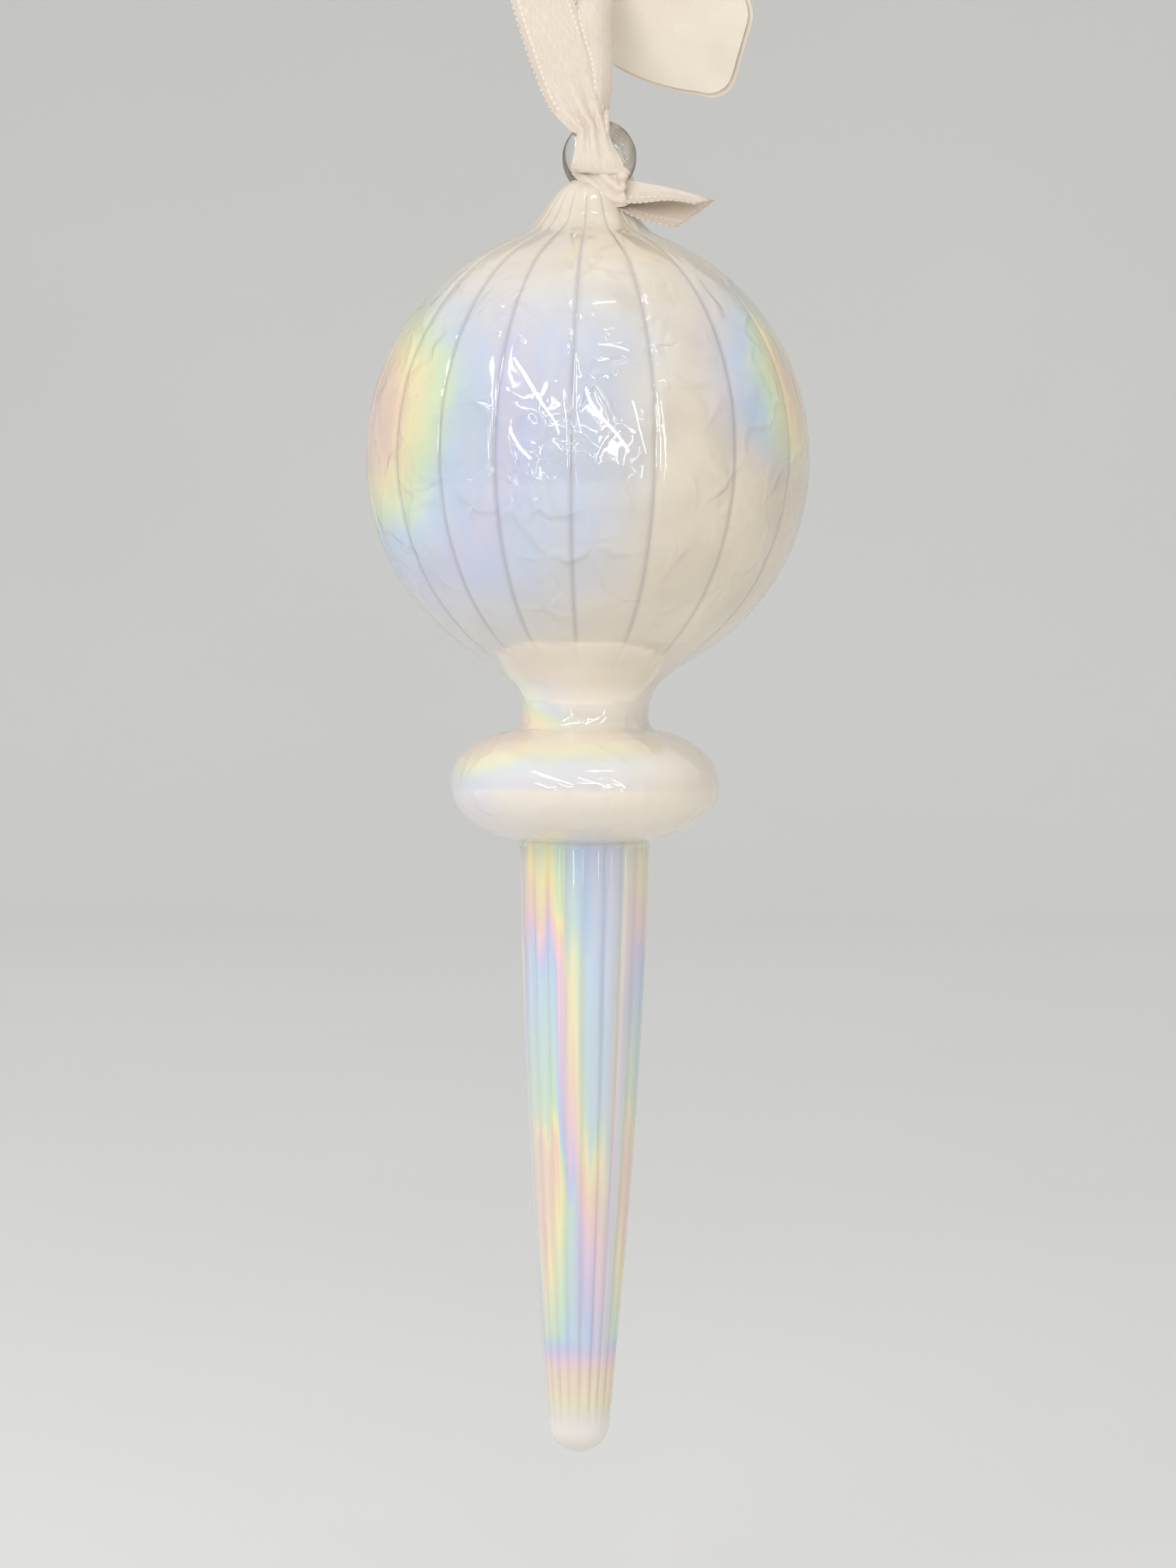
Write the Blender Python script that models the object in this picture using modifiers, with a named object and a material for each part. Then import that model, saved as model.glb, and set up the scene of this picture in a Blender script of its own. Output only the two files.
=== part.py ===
"""Icicle hanging ornament: a blown finial of fluted pearl glass with a clear glass ring on top,
hung from a knotted satin ribbon that also carries a small folded card tag.

Frame: the origin is the hang point, the inside top of the ribbon loop, where a hook carries it.
+Z is up, +X is to the right seen from the front, and the front faces -Y. Metres.
Heights are written in millimetres above the glass ring's top, and height() turns them into Z.
"""

import math

import bmesh
import bpy
from mathutils import Matrix, Vector

MM = 0.001
GAP = 0.3  # mm left between pieces that touch

# Driving dimensions, in millimetres
LOOP_DROP = 72.0  # hang point down to the top of the glass ring

BALL_RADIUS = 38.6
BALL_CENTRE = -58.5
BALL_RISE = 40.6  # the ball's centre up to the pole of its upper half
BALL_FALL = 39.3  # and down to the pole of its lower half
CONE_TOP = -10.5  # flat land on the cone, which the ring is fused to
NECK_RADIUS = 11.05
NECK_END = -105.2  # crease between the neck and the collar

COLLAR_RADIUS = 23.6
COLLAR_END = -124.5  # crease between the collar and the icicle

ICICLE_TOP_RADIUS = 11.4
ICICLE_TIP_RADIUS = 5.3
ICICLE_TIP = -232.1
ICICLE_SWELL = 1.55  # above 1 the taper bellies outwards

WALL = 1.6
RIBS = 18
RIB_DEPTH = 0.5
FLUTE_DEPTH = 0.35

RING_X = 1.6  # the ring sits a little right of the glass axis, as it was fused by hand
RING_OUTSIDE = 6.5
RING_ROD = 2.0  # radius of the clear rod
RING_HEIGHT = -6.5  # the ring's centre
ROD_HEIGHT = RING_HEIGHT + RING_OUTSIDE - RING_ROD  # centre of the rod where the ribbon goes over it

RIBBON_THICK = 0.6
TAIL_THICK = 0.9  # a tail is the ribbon folded lengthwise
TAIL_CURL = 0.25  # radians
WRAP_INNER = 2.8
WRAP_THICK = 1.2
WRAP_WIDTH = 3.0
BAND_THICK = 1.5  # the flat turn over the ring's front
BAND_Y = -5.3
BAND_CORNERS = ((-1.9, -0.9), (3.4, -0.9), (6.2, -9.9), (-3.0, -8.7))
NECK_TOP = 5.2  # flat top of the gathered stretch, where the ribbon twists
NECK_BOTTOM = -1.0
NECK_X = 0.5
NECK_WIDE = 4.8  # half width of the gathered stretch at its top
NECK_NARROW = 3.0
NECK_FLATNESS = 0.36

TAG_WIDTH = 33.0
TAG_HEIGHT = 20.6
TAG_CORNER = 5.0
TAG_ARCH = 1.8  # bulge of the tag's long edges
TAG_THICK = 1.0  # two leaves of card and the slit between them
TAG_SLIT = 0.3
TAG_FOLD = 0.6  # card left joined along the left edge
TAG_HOLE = 3.2  # radius
TAG_MARGIN = 4.5  # hole centre to the two nearest edges
TAG_TURN = 20.0  # degrees the tag leans, right side down
TAG_PLACE = (2.0, 7.0, 28.8)

# The ribbon loop from the front strand's lower end, over the hook, to the back strand's lower end:
# x, y, height, direction of the ribbon's width in degrees from +X, curl in degrees, width
LOOP_ROUTE = (
    (-2.4, -1.0, 5.6, 180, 60, 8.0),
    (-5.0, -1.5, 11.2, 180, 24, 9.0),
    (-8.9, -2.4, 21.1, 178, 8, 10.0),
    (-11.4, -2.9, 31.0, 165, 6, 10.0),
    (-12.0, -2.6, 41.0, 142, 6, 10.0),
    (-10.6, -1.6, 51.5, 118, 6, 10.0),
    (-8.0, -0.6, 60.5, 100, 6, 10.0),
    (-6.0, 0.0, 66.3, 92, 4, 10.0),
    (-4.3, 0.0, 70.6, 90, 4, 10.0),
    (0.0, 0.0, 72.3, 90, 4, 10.0),
    (4.3, 0.2, 70.6, 88, 4, 10.0),
    (6.2, 1.0, 66.0, 84, 8, 10.0),
    (7.0, 3.6, 58.0, 70, 20, 10.0),
    (6.8, 8.0, 48.0, 45, 90, 10.0),
    (5.2, 11.6, 39.6, 16, 200, 10.0),
    (3.3, 11.6, 34.8, 4, 300, 10.0),
    (2.3, 9.6, 32.4, 0, 340, 10.0),
    (2.0, 6.2, 30.1, 0, 340, 10.0),
    (1.7, 3.0, 27.8, 0, 320, 10.0),
    (1.0, 1.5, 24.4, 0, 240, 10.0),
    (0.4, 1.4, 18.5, 0, 165, 10.0),
    (0.9, 1.2, 11.2, 0, 150, 9.0),
    (1.3, 1.2, 5.6, 0, 140, 8.0),
)
# The tails in the same terms, with the direction of their width as a vector
TAIL_RIGHT = (
    ((4.6, -7.2, -13.4), (-0.30, -0.42, -0.86)),
    ((8.8, -8.6, -13.8), (-0.32, -0.30, -0.90)),
    ((13.6, -8.6, -14.8), (-0.48, -0.16, -0.86)),
    ((18.4, -7.6, -16.3), (-0.70, -0.06, -0.71)),
)
TAIL_RIGHT_WIDTH = 6.2
TAIL_BACK = (
    ((1.6, 4.8, -7.8), (1.0, 0.0, 0.0)),
    ((1.5, 7.2, -10.6), (1.0, 0.0, 0.0)),
    ((1.2, 10.2, -13.6), (1.0, 0.0, 0.0)),
    ((0.8, 13.2, -17.4), (1.0, 0.0, 0.0)),
)
TAIL_BACK_WIDTH = 7.6


def height(above_ring):
    """Z in metres of a height given in millimetres above the ring's top."""
    return (above_ring - LOOP_DROP) * MM


def place(x, y, above_ring):
    return Vector((x * MM, y * MM, height(above_ring)))


def clear_scene():
    for obj in list(bpy.data.objects):
        bpy.data.objects.remove(obj, do_unlink=True)


def new_collection(name):
    collection = bpy.data.collections.new(name)
    bpy.context.scene.collection.children.link(collection)
    return collection


def material(name, colour, roughness, metallic=0.0, transmission=0.0):
    made = bpy.data.materials.new(name)
    made.use_nodes = True
    shader = made.node_tree.nodes["Principled BSDF"]
    shader.inputs["Base Color"].default_value = (*colour, 1.0)
    shader.inputs["Roughness"].default_value = roughness
    shader.inputs["Metallic"].default_value = metallic
    shader.inputs["Transmission Weight"].default_value = transmission
    made.diffuse_color = (*colour, 1.0)
    return made


def add_object(name, data, collection, finish=None):
    obj = bpy.data.objects.new(name, data)
    collection.objects.link(obj)
    if finish is not None:
        obj.data.materials.append(finish)
    return obj


def adopt(obj, name, collection, finish=None):
    """Takes a piece that a primitive tool made into a collection, under its own name."""
    for owner in list(obj.users_collection):
        owner.objects.unlink(obj)
    collection.objects.link(obj)
    obj.name = name
    obj.data.name = name
    if finish is not None:
        obj.data.materials.append(finish)
    return obj


def apply_transform(obj):
    """Puts the object's scale and rotation into its mesh."""
    turn = obj.rotation_euler.to_matrix().to_4x4()
    obj.data.transform(turn @ Matrix.Diagonal((*obj.scale, 1.0)))
    obj.rotation_euler = (0.0, 0.0, 0.0)
    obj.scale = (1.0, 1.0, 1.0)


def solidify(obj, thickness, offset):
    shell = obj.modifiers.new("wall", "SOLIDIFY")
    shell.thickness = thickness * MM
    shell.offset = offset
    shell.use_even_offset = offset != 0
    return shell


def cut(obj, cutter):
    boolean = obj.modifiers.new("cut_" + cutter.name, "BOOLEAN")
    boolean.operation = "DIFFERENCE"
    boolean.solver = "EXACT"
    boolean.object = cutter
    return boolean


def hang_on(pivot, pieces):
    """Makes the pieces children of the empty without moving them."""
    for obj in pieces:
        obj.parent = pivot
        obj.matrix_parent_inverse = Matrix.Translation(pivot.location).inverted()


def hide_cutter(obj):
    obj.hide_render = True
    obj.display_type = "WIRE"
    return obj


def between(before, start, end, after, t):
    """The value at t from start to end on a smooth curve that also passes before and after."""
    square = 2 * before - 5 * start + 4 * end - after
    cube = 3 * (start - end) + after - before
    return 0.5 * (2 * start + (end - before) * t + square * t**2 + cube * t**3)


def smooth_rows(rows, steps):
    """Rows of equal length joined by a smooth curve, with this many steps between two rows."""
    padded = [rows[0], *rows, rows[-1]]
    made = []
    for four in zip(padded, padded[1:], padded[2:], padded[3:]):
        for step in range(steps):
            made.append([between(*values, step / steps) for values in zip(*four)])
    made.append(list(rows[-1]))
    return made


# ---------------------------------------------------------------- glass profiles


def cone_profile():
    """Radius and height down the cone on top of the ball, from its flat land."""
    return [
        (0.0, CONE_TOP),
        (3.2, CONE_TOP),
        (4.7, -11.3),
        (5.9, -12.7),
        (7.4, -14.8),
        (9.0, -17.2),
        (11.2, -19.4),
    ]


def ball_profile():
    """Down the cone, round the ball and down the neck to its crease."""
    points = cone_profile()
    for angle in range(66, 0, -11):
        lift = math.radians(angle)
        points.append((BALL_RADIUS * math.cos(lift), BALL_CENTRE + BALL_RISE * math.sin(lift)))
    for angle in range(0, 62, 10):
        dip = math.radians(angle)
        points.append((BALL_RADIUS * math.cos(dip), BALL_CENTRE - BALL_FALL * math.sin(dip)))
    points += [
        (15.4, -95.0),
        (12.7, -97.4),
        (11.4, -99.8),
        (NECK_RADIUS, -102.3),
        (NECK_RADIUS + 0.2, NECK_END + GAP / 2),
    ]
    return points


def collar_profile():
    """Half an ellipse, from the neck's crease out to the widest point and back to the icicle."""
    top = NECK_END - GAP / 2
    bottom = COLLAR_END + GAP / 2
    middle = (top + bottom) / 2
    half = (top - bottom) / 2
    root = NECK_RADIUS + 0.4
    points = [(root - 0.1, top)]
    for angle in range(75, -76, -15):
        lift = math.radians(angle)
        points.append((root + (COLLAR_RADIUS - root) * math.cos(lift), middle + half * math.sin(lift)))
    points.append((root, bottom))
    return points


def icicle_profile():
    """A slightly bellied taper with a half-round tip."""
    top = COLLAR_END - GAP / 2
    tip_centre = ICICLE_TIP + ICICLE_TIP_RADIUS
    points = []
    rows = 9
    for row in range(rows):
        share = row / rows
        radius = ICICLE_TOP_RADIUS + (ICICLE_TIP_RADIUS - ICICLE_TOP_RADIUS) * share**ICICLE_SWELL
        points.append((radius, top + (tip_centre - top) * share))
    for angle in range(0, 91, 18):
        dip = math.radians(angle)
        points.append((ICICLE_TIP_RADIUS * math.cos(dip), tip_centre - ICICLE_TIP_RADIUS * math.sin(dip)))
    points[-1] = (0.0, ICICLE_TIP)
    return points


def fade(value, start, end):
    """0 before start, 1 after end, smooth between them; start may be above end."""
    share = min(1.0, max(0.0, (value - start) / (end - start)))
    return share * share * (3 - 2 * share)


def ball_groove(z):
    """The ribs start on the cone and are gone where the neck begins."""
    return RIB_DEPTH * fade(z, -12.0, -22.0) * fade(z, -97.0, -86.0)


def icicle_groove(z):
    """The flutes start at the collar and fade just above the tip."""
    return FLUTE_DEPTH * fade(z, ICICLE_TIP + 4.0, ICICLE_TIP + 12.0)


def smooth_profile(z):
    return 0.0


def turned_shell(name, profile, groove, collection, finish):
    """A profile spun round the glass axis, with every other column pushed in as a groove, made a wall."""
    columns = 2 * RIBS
    bm = bmesh.new()
    line = [bm.verts.new((r * MM, 0.0, height(z))) for r, z in profile]
    edges = [bm.edges.new(pair) for pair in zip(line, line[1:])]
    bmesh.ops.spin(
        bm,
        geom=line + edges,
        cent=(0.0, 0.0, 0.0),
        axis=(0.0, 0.0, 1.0),
        angle=2 * math.pi,
        steps=columns,
        use_merge=True,
    )
    bmesh.ops.remove_doubles(bm, verts=bm.verts, dist=0.01 * MM)
    for vert in bm.verts:
        radius = math.hypot(vert.co.x, vert.co.y)
        column = round(math.atan2(vert.co.y, vert.co.x) / (2 * math.pi / columns))
        if column % 2 and radius > MM:
            depth = groove(vert.co.z / MM + LOOP_DROP) * MM
            vert.co.x *= 1 - depth / radius
            vert.co.y *= 1 - depth / radius
    bmesh.ops.recalc_face_normals(bm, faces=bm.faces)
    outermost = max(bm.faces, key=lambda f: math.hypot(*f.calc_center_median()[:2]))
    if outermost.normal.dot(outermost.calc_center_median() * Vector((1, 1, 0))) < 0:
        bmesh.ops.reverse_faces(bm, faces=bm.faces)
    mesh = bpy.data.meshes.new(name)
    bm.to_mesh(mesh)
    bm.free()
    mesh.shade_smooth()
    obj = add_object(name, mesh, collection, finish)
    solidify(obj, WALL, -1)
    return obj


# ---------------------------------------------------------------- glass pieces


def glass_ball(parts, finish):
    return turned_shell("glass_ball", ball_profile(), ball_groove, parts, finish)


def glass_collar(parts, finish):
    return turned_shell("glass_collar", collar_profile(), smooth_profile, parts, finish)


def glass_icicle(parts, finish):
    return turned_shell("glass_icicle", icicle_profile(), icicle_groove, parts, finish)


def ring_seat(cutters):
    """The top of the ball, grown by the gap: what the ring's foot is cut to."""
    outline = [(r + (GAP if r > 0 else 0.0), z + GAP) for r, z in cone_profile()]
    outline += [(outline[-1][0], -24.0), (0.0, -24.0)]
    bm = bmesh.new()
    line = [bm.verts.new((r * MM, 0.0, height(z))) for r, z in outline]
    edges = [bm.edges.new(pair) for pair in zip(line, line[1:])]
    bmesh.ops.spin(
        bm, geom=line + edges, cent=(0, 0, 0), axis=(0, 0, 1), angle=2 * math.pi, steps=36, use_merge=True
    )
    bmesh.ops.remove_doubles(bm, verts=bm.verts, dist=0.01 * MM)
    bmesh.ops.recalc_face_normals(bm, faces=bm.faces)
    mesh = bpy.data.meshes.new("ring_seat")
    bm.to_mesh(mesh)
    bm.free()
    return hide_cutter(add_object("ring_seat", mesh, cutters))


def glass_ring(parts, cutters, finish):
    """A clear rod bent round and fused to the cone, its hole facing the front."""
    bpy.ops.mesh.primitive_torus_add(
        major_segments=28,
        minor_segments=12,
        major_radius=(RING_OUTSIDE - RING_ROD) * MM,
        minor_radius=RING_ROD * MM,
        location=place(RING_X, 0.0, RING_HEIGHT),
        rotation=(math.pi / 2, 0.0, 0.0),
    )
    ring = adopt(bpy.context.object, "glass_ring", parts, finish)
    apply_transform(ring)
    ring.data.shade_smooth()
    cut(ring, ring_seat(cutters))
    return ring


# ---------------------------------------------------------------- ribbon pieces


def strip(name, stations, thickness, across, collection, finish):
    """A ribbon through stations of (point, width direction, curl in radians, width), as an open
    surface given a thickness. A curled stretch bends its two edges away from its outer side."""
    bm = bmesh.new()
    rows = []
    last = len(stations) - 1
    for index, (point, width_direction, curl, width) in enumerate(stations):
        before = stations[max(index - 1, 0)][0]
        after = stations[min(index + 1, last)][0]
        tangent = (after - before).normalized()
        if name == "ribbon_loop" and index in (0, last):
            tangent = Vector((0, 0, 1 if index == 0 else -1))
        wide = (width_direction - width_direction.dot(tangent) * tangent).normalized()
        outward = tangent.cross(wide)
        row = []
        for step in range(across + 1):
            share = step / across - 0.5
            if curl > 0.02:
                radius = width / curl
                sideways = radius * math.sin(share * curl)
                back = radius * (math.cos(share * curl) - 1)
            else:
                sideways, back = width * share, 0.0
            row.append(bm.verts.new(point + wide * sideways * MM + outward * back * MM))
        rows.append(row)
    for row, above in zip(rows, rows[1:]):
        for step in range(across):
            bm.faces.new((row[step], above[step], above[step + 1], row[step + 1]))
    mesh = bpy.data.meshes.new(name)
    bm.to_mesh(mesh)
    bm.free()
    mesh.shade_smooth()
    obj = add_object(name, mesh, collection, finish)
    solidify(obj, thickness, 0)
    return obj


def ribbon_loop(parts, finish):
    """The two strands and the bight that goes over the hook."""
    stations = []
    for x, y, above, turn, curl, width in smooth_rows(LOOP_ROUTE, 3):
        direction = Vector((math.cos(math.radians(turn)), math.sin(math.radians(turn)), 0.0))
        stations.append((place(x, y, above), direction, math.radians(curl), width))
    return strip("ribbon_loop", stations, RIBBON_THICK, 6, parts, finish)


def ribbon_neck(parts, cutters, finish):
    """Both strands gathered together above the ring. Its underside is hollowed to the wrap's round
    top, so that the ornament can swing under it."""
    bpy.ops.mesh.primitive_cone_add(
        vertices=20,
        radius1=NECK_NARROW * MM,
        radius2=NECK_WIDE * MM,
        depth=(NECK_TOP - NECK_BOTTOM) * MM,
        location=place(NECK_X, 0.0, (NECK_TOP + NECK_BOTTOM) / 2),
    )
    neck = adopt(bpy.context.object, "ribbon_neck", parts, finish)
    neck.scale = (1.0, NECK_FLATNESS, 1.0)
    apply_transform(neck)
    neck.data.shade_smooth()
    bpy.ops.mesh.primitive_cylinder_add(
        vertices=48,
        radius=(WRAP_INNER + WRAP_THICK + GAP) * MM,
        depth=20 * MM,
        location=place(NECK_X, 0.0, ROD_HEIGHT),
        rotation=(0.0, math.pi / 2, 0.0),
    )
    swing_room = hide_cutter(adopt(bpy.context.object, "swing_room", cutters))
    cut(neck, swing_room)
    return neck


def ribbon_ring_wrap(parts, finish):
    """The bunched turn of ribbon through the glass ring, a flat link round its rod."""
    bpy.ops.mesh.primitive_torus_add(
        major_segments=28,
        minor_segments=8,
        major_radius=(WRAP_INNER + WRAP_THICK / 2) * MM,
        minor_radius=WRAP_THICK / 2 * MM,
        location=place(RING_X, 0.0, ROD_HEIGHT),
        rotation=(0.0, math.pi / 2, 0.0),
    )
    wrap = adopt(bpy.context.object, "ribbon_ring_wrap", parts, finish)
    wrap.scale = (1.0, 1.0, WRAP_WIDTH / WRAP_THICK)
    apply_transform(wrap)
    wrap.data.shade_smooth()
    return wrap


def flat_outline(name, corners, thickness, collection, finish):
    """A closed outline of (x, z) points in millimetres, filled and extruded along Y, as a mesh."""
    curve = bpy.data.curves.new(name, "CURVE")
    curve.dimensions = "2D"
    curve.fill_mode = "BOTH"
    curve.extrude = thickness / 2 * MM
    spline = curve.splines.new("POLY")
    spline.points.add(len(corners) - 1)
    for point, (x, z) in zip(spline.points, corners):
        point.co = (x * MM, z * MM, 0.0, 1.0)
    spline.use_cyclic_u = True
    flat = add_object(name + "_outline", curve, collection)
    flat.rotation_euler = (math.pi / 2, 0.0, 0.0)
    bpy.context.view_layer.update()
    mesh = bpy.data.meshes.new_from_object(flat.evaluated_get(bpy.context.evaluated_depsgraph_get()))
    mesh.transform(flat.matrix_world)
    bpy.data.objects.remove(flat, do_unlink=True)
    bm = bmesh.new()
    bm.from_mesh(mesh)
    bmesh.ops.remove_doubles(bm, verts=bm.verts, dist=0.01 * MM)
    bmesh.ops.recalc_face_normals(bm, faces=bm.faces)
    bm.to_mesh(mesh)
    bm.free()
    mesh.name = name
    return add_object(name, mesh, collection, finish)


def rounded(corners, radius, steps=5):
    """The outline with each corner turned into an arc of this radius."""
    made = []
    count = len(corners)
    for index in range(count):
        corner = Vector(corners[index])
        to_before = (Vector(corners[index - 1]) - corner).normalized()
        to_after = (Vector(corners[(index + 1) % count]) - corner).normalized()
        half = to_before.angle(to_after) / 2
        start = corner + to_before * radius / math.tan(half)
        end = corner + to_after * radius / math.tan(half)
        centre = corner + (to_before + to_after).normalized() * radius / math.sin(half)
        first = start - centre
        sweep = first.angle_signed(end - centre)
        for step in range(steps + 1):
            turn = Matrix.Rotation(-sweep * step / steps, 2)
            made.append(tuple(centre + turn @ first))
    return made


def ribbon_knot_band(parts, finish):
    """The flat turn of the knot pulled down over the front of the ring, wider at its fold."""
    band = flat_outline("ribbon_knot_band", rounded(BAND_CORNERS, 0.8, 3), BAND_THICK, parts, finish)
    band.location = place(0.0, BAND_Y, 0.0)
    return band


def ribbon_tail(name, route, width, parts, finish):
    """A cut end of the ribbon standing off the knot."""
    rows = [[*point, *direction] for point, direction in route]
    stations = [(place(*row[:3]), Vector(row[3:]), TAIL_CURL, width) for row in smooth_rows(rows, 3)]
    return strip(name, stations, TAIL_THICK, 4, parts, finish)


# ---------------------------------------------------------------- tag


def tag_edge(start, end, steps):
    """A long edge of the tag, bulged outwards as a shallow arch; the end point is left out."""
    start, end = Vector(start), Vector(end)
    outward = Vector((0.0, 1.0 if start.y > 0 else -1.0))
    made = []
    for step in range(steps):
        share = step / steps
        made.append(tuple(start.lerp(end, share) + outward * TAG_ARCH * 4 * share * (1 - share)))
    return made


def tag_outline():
    """Clockwise round the tag, measured from the hole's centre."""
    left, right = -TAG_MARGIN, TAG_WIDTH - TAG_MARGIN
    top, bottom = TAG_MARGIN, TAG_MARGIN - TAG_HEIGHT
    corners = rounded([(left, top), (right, top), (right, bottom), (left, bottom)], TAG_CORNER)
    quarter = len(corners) // 4
    outline = list(corners[: quarter - 1])
    outline += tag_edge(corners[quarter - 1], corners[quarter], 6)
    outline += corners[quarter : 3 * quarter - 1]
    outline += tag_edge(corners[3 * quarter - 1], corners[3 * quarter], 6)
    outline += corners[3 * quarter :]
    return outline


def hang_tag(parts, cutters, finish):
    """A card folded along its left edge, both leaves punched, threaded on the back strand.
    Its origin is the hole's centre, which it swings about."""
    tag = flat_outline("hang_tag", tag_outline(), TAG_THICK, parts, finish)
    pivot = place(*TAG_PLACE)
    lean = math.radians(TAG_TURN)
    bpy.ops.mesh.primitive_cylinder_add(
        vertices=28, radius=TAG_HOLE * MM, depth=8 * MM, location=pivot, rotation=(math.pi / 2, 0.0, 0.0)
    )
    punch = hide_cutter(adopt(bpy.context.object, "tag_punch", cutters))
    size = (TAG_WIDTH + 4.0, TAG_SLIT, TAG_HEIGHT + 12.0)
    middle = Vector((size[0] / 2 - TAG_MARGIN + TAG_FOLD, 0.0, TAG_MARGIN - TAG_HEIGHT / 2)) * MM
    bpy.ops.mesh.primitive_cube_add(size=MM)
    slit = hide_cutter(adopt(bpy.context.object, "tag_slit", cutters))
    slit.scale = size
    apply_transform(slit)
    slit.data.transform(Matrix.Translation(middle))
    for obj in (tag, slit):
        obj.location = pivot
        obj.rotation_euler = (0.0, lean, 0.0)
    cut(tag, slit)
    cut(tag, punch)
    return tag


def build():
    clear_scene()
    parts = new_collection("icicle_hanging_ornament")
    cutters = new_collection("cutters")
    pearl = material("pearl_glass", (0.88, 0.86, 0.82), 0.08)
    clear = material("clear_glass", (0.92, 0.95, 0.95), 0.02, transmission=1.0)
    satin = material("satin_ribbon", (0.82, 0.78, 0.74), 0.42)
    card = material("tag_card", (0.90, 0.88, 0.86), 0.75)
    swing_axis = add_object("swing_axis", None, parts)
    swing_axis.location = place(RING_X, 0.0, ROD_HEIGHT)
    swinging = [
        glass_ball(parts, pearl),
        glass_collar(parts, pearl),
        glass_icicle(parts, pearl),
        glass_ring(parts, cutters, clear),
        ribbon_ring_wrap(parts, satin),
        ribbon_knot_band(parts, satin),
        ribbon_tail("ribbon_tail_right", TAIL_RIGHT, TAIL_RIGHT_WIDTH, parts, satin),
        ribbon_tail("ribbon_tail_back", TAIL_BACK, TAIL_BACK_WIDTH, parts, satin),
    ]
    hang_on(swing_axis, swinging)
    ribbon_loop(parts, satin)
    ribbon_neck(parts, cutters, satin)
    hang_tag(parts, cutters, card)


build()
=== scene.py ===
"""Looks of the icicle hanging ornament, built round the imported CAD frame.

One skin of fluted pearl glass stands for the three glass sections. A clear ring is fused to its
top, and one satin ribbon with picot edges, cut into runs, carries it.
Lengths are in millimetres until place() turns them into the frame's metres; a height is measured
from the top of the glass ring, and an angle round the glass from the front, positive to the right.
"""

import math

import bmesh
import bpy
from mathutils import Matrix, Quaternion, Vector, noise


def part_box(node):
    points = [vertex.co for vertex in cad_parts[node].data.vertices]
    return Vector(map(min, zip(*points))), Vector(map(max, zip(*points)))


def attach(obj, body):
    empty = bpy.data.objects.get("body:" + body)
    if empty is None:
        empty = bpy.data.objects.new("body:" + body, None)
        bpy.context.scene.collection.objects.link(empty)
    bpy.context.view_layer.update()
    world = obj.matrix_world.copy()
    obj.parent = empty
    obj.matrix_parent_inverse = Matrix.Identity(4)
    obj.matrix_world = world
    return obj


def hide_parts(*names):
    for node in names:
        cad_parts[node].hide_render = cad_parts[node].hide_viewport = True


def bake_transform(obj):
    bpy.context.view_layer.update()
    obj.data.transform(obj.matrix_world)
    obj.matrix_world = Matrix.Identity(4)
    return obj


MM = 0.001

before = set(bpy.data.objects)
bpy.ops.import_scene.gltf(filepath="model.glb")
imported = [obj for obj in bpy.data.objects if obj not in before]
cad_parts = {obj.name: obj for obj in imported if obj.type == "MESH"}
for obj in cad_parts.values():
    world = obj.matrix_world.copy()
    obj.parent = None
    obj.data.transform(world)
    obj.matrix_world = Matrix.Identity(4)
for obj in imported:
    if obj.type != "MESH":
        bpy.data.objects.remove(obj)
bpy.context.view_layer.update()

# From the frame
RING_LOW, RING_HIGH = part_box("glass_ring")
BALL_LOW, BALL_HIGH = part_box("glass_ball")
COLLAR_LOW, COLLAR_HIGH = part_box("glass_collar")
ICICLE_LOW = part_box("glass_icicle")[0]
RING_TOP = RING_HIGH.z
RING_X = (RING_LOW.x + RING_HIGH.x) / 2 / MM
BALL_RADIUS = (BALL_HIGH.x - BALL_LOW.x) / 2 / MM
COLLAR_RADIUS = (COLLAR_HIGH.x - COLLAR_LOW.x) / 2 / MM

# Glass, in millimetres
BALL_CENTRE = -58.5
BALL_RISE, BALL_FALL = 40.6, 39.3
CONE = (
    (0.0, -10.4),
    (2.4, -10.4),
    (3.7, -10.7),
    (4.7, -11.4),
    (5.9, -12.7),
    (7.4, -14.8),
    (9.0, -17.2),
    (11.2, -19.4),
    (14.8, -21.1),
    (19.3, -23.4),
)
FLARE = (
    (19.3, -92.6),
    (15.6, -95.0),
    (12.75, -97.4),
    (11.45, -99.8),
    (11.05, -102.3),
    (11.2, -104.2),
    (12.0, -105.3),
)
COLLAR_ROOT = 11.45
COLLAR_TOP, COLLAR_END = -105.2, -124.5
COLLAR_PINCH = 1.2  # above 1 the collar's shoulders are flatter than an ellipse's
ICICLE_TOP_RADIUS, TIP_RADIUS = 11.4, 5.3
ICICLE_TIP = (ICICLE_LOW.z - RING_TOP) / MM
ICICLE_SWELL = 1.55
RIBS = 18
# Degrees of the grooves at the front; the rest are evenly spaced
FRONT_GROOVES = (-57.0, -40.0, -23.5, -4.0, 17.0, 40.0, 63.0)
COLUMN_SHARES = (0.0, 0.03, 0.065, 0.12, 0.22, 0.36, 0.5, 0.64, 0.78, 0.88, 0.935, 0.97)
GROOVE_DEPTH, PANEL_SINK = 0.26, 0.22
ICICLE_ROWS = 96
BALL_ROWS, BALL_ROW_TURN = 38, 1.5  # above and below the middle, and degrees between them
FLUTES = 20
FLUTE_DEPTH = 0.34
# The lustre's fine wrinkles on the ball
CREASE_SPACING, CREASE_WIDTH, CREASE_HEIGHT = 8.5, 1.0, 0.36

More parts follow.
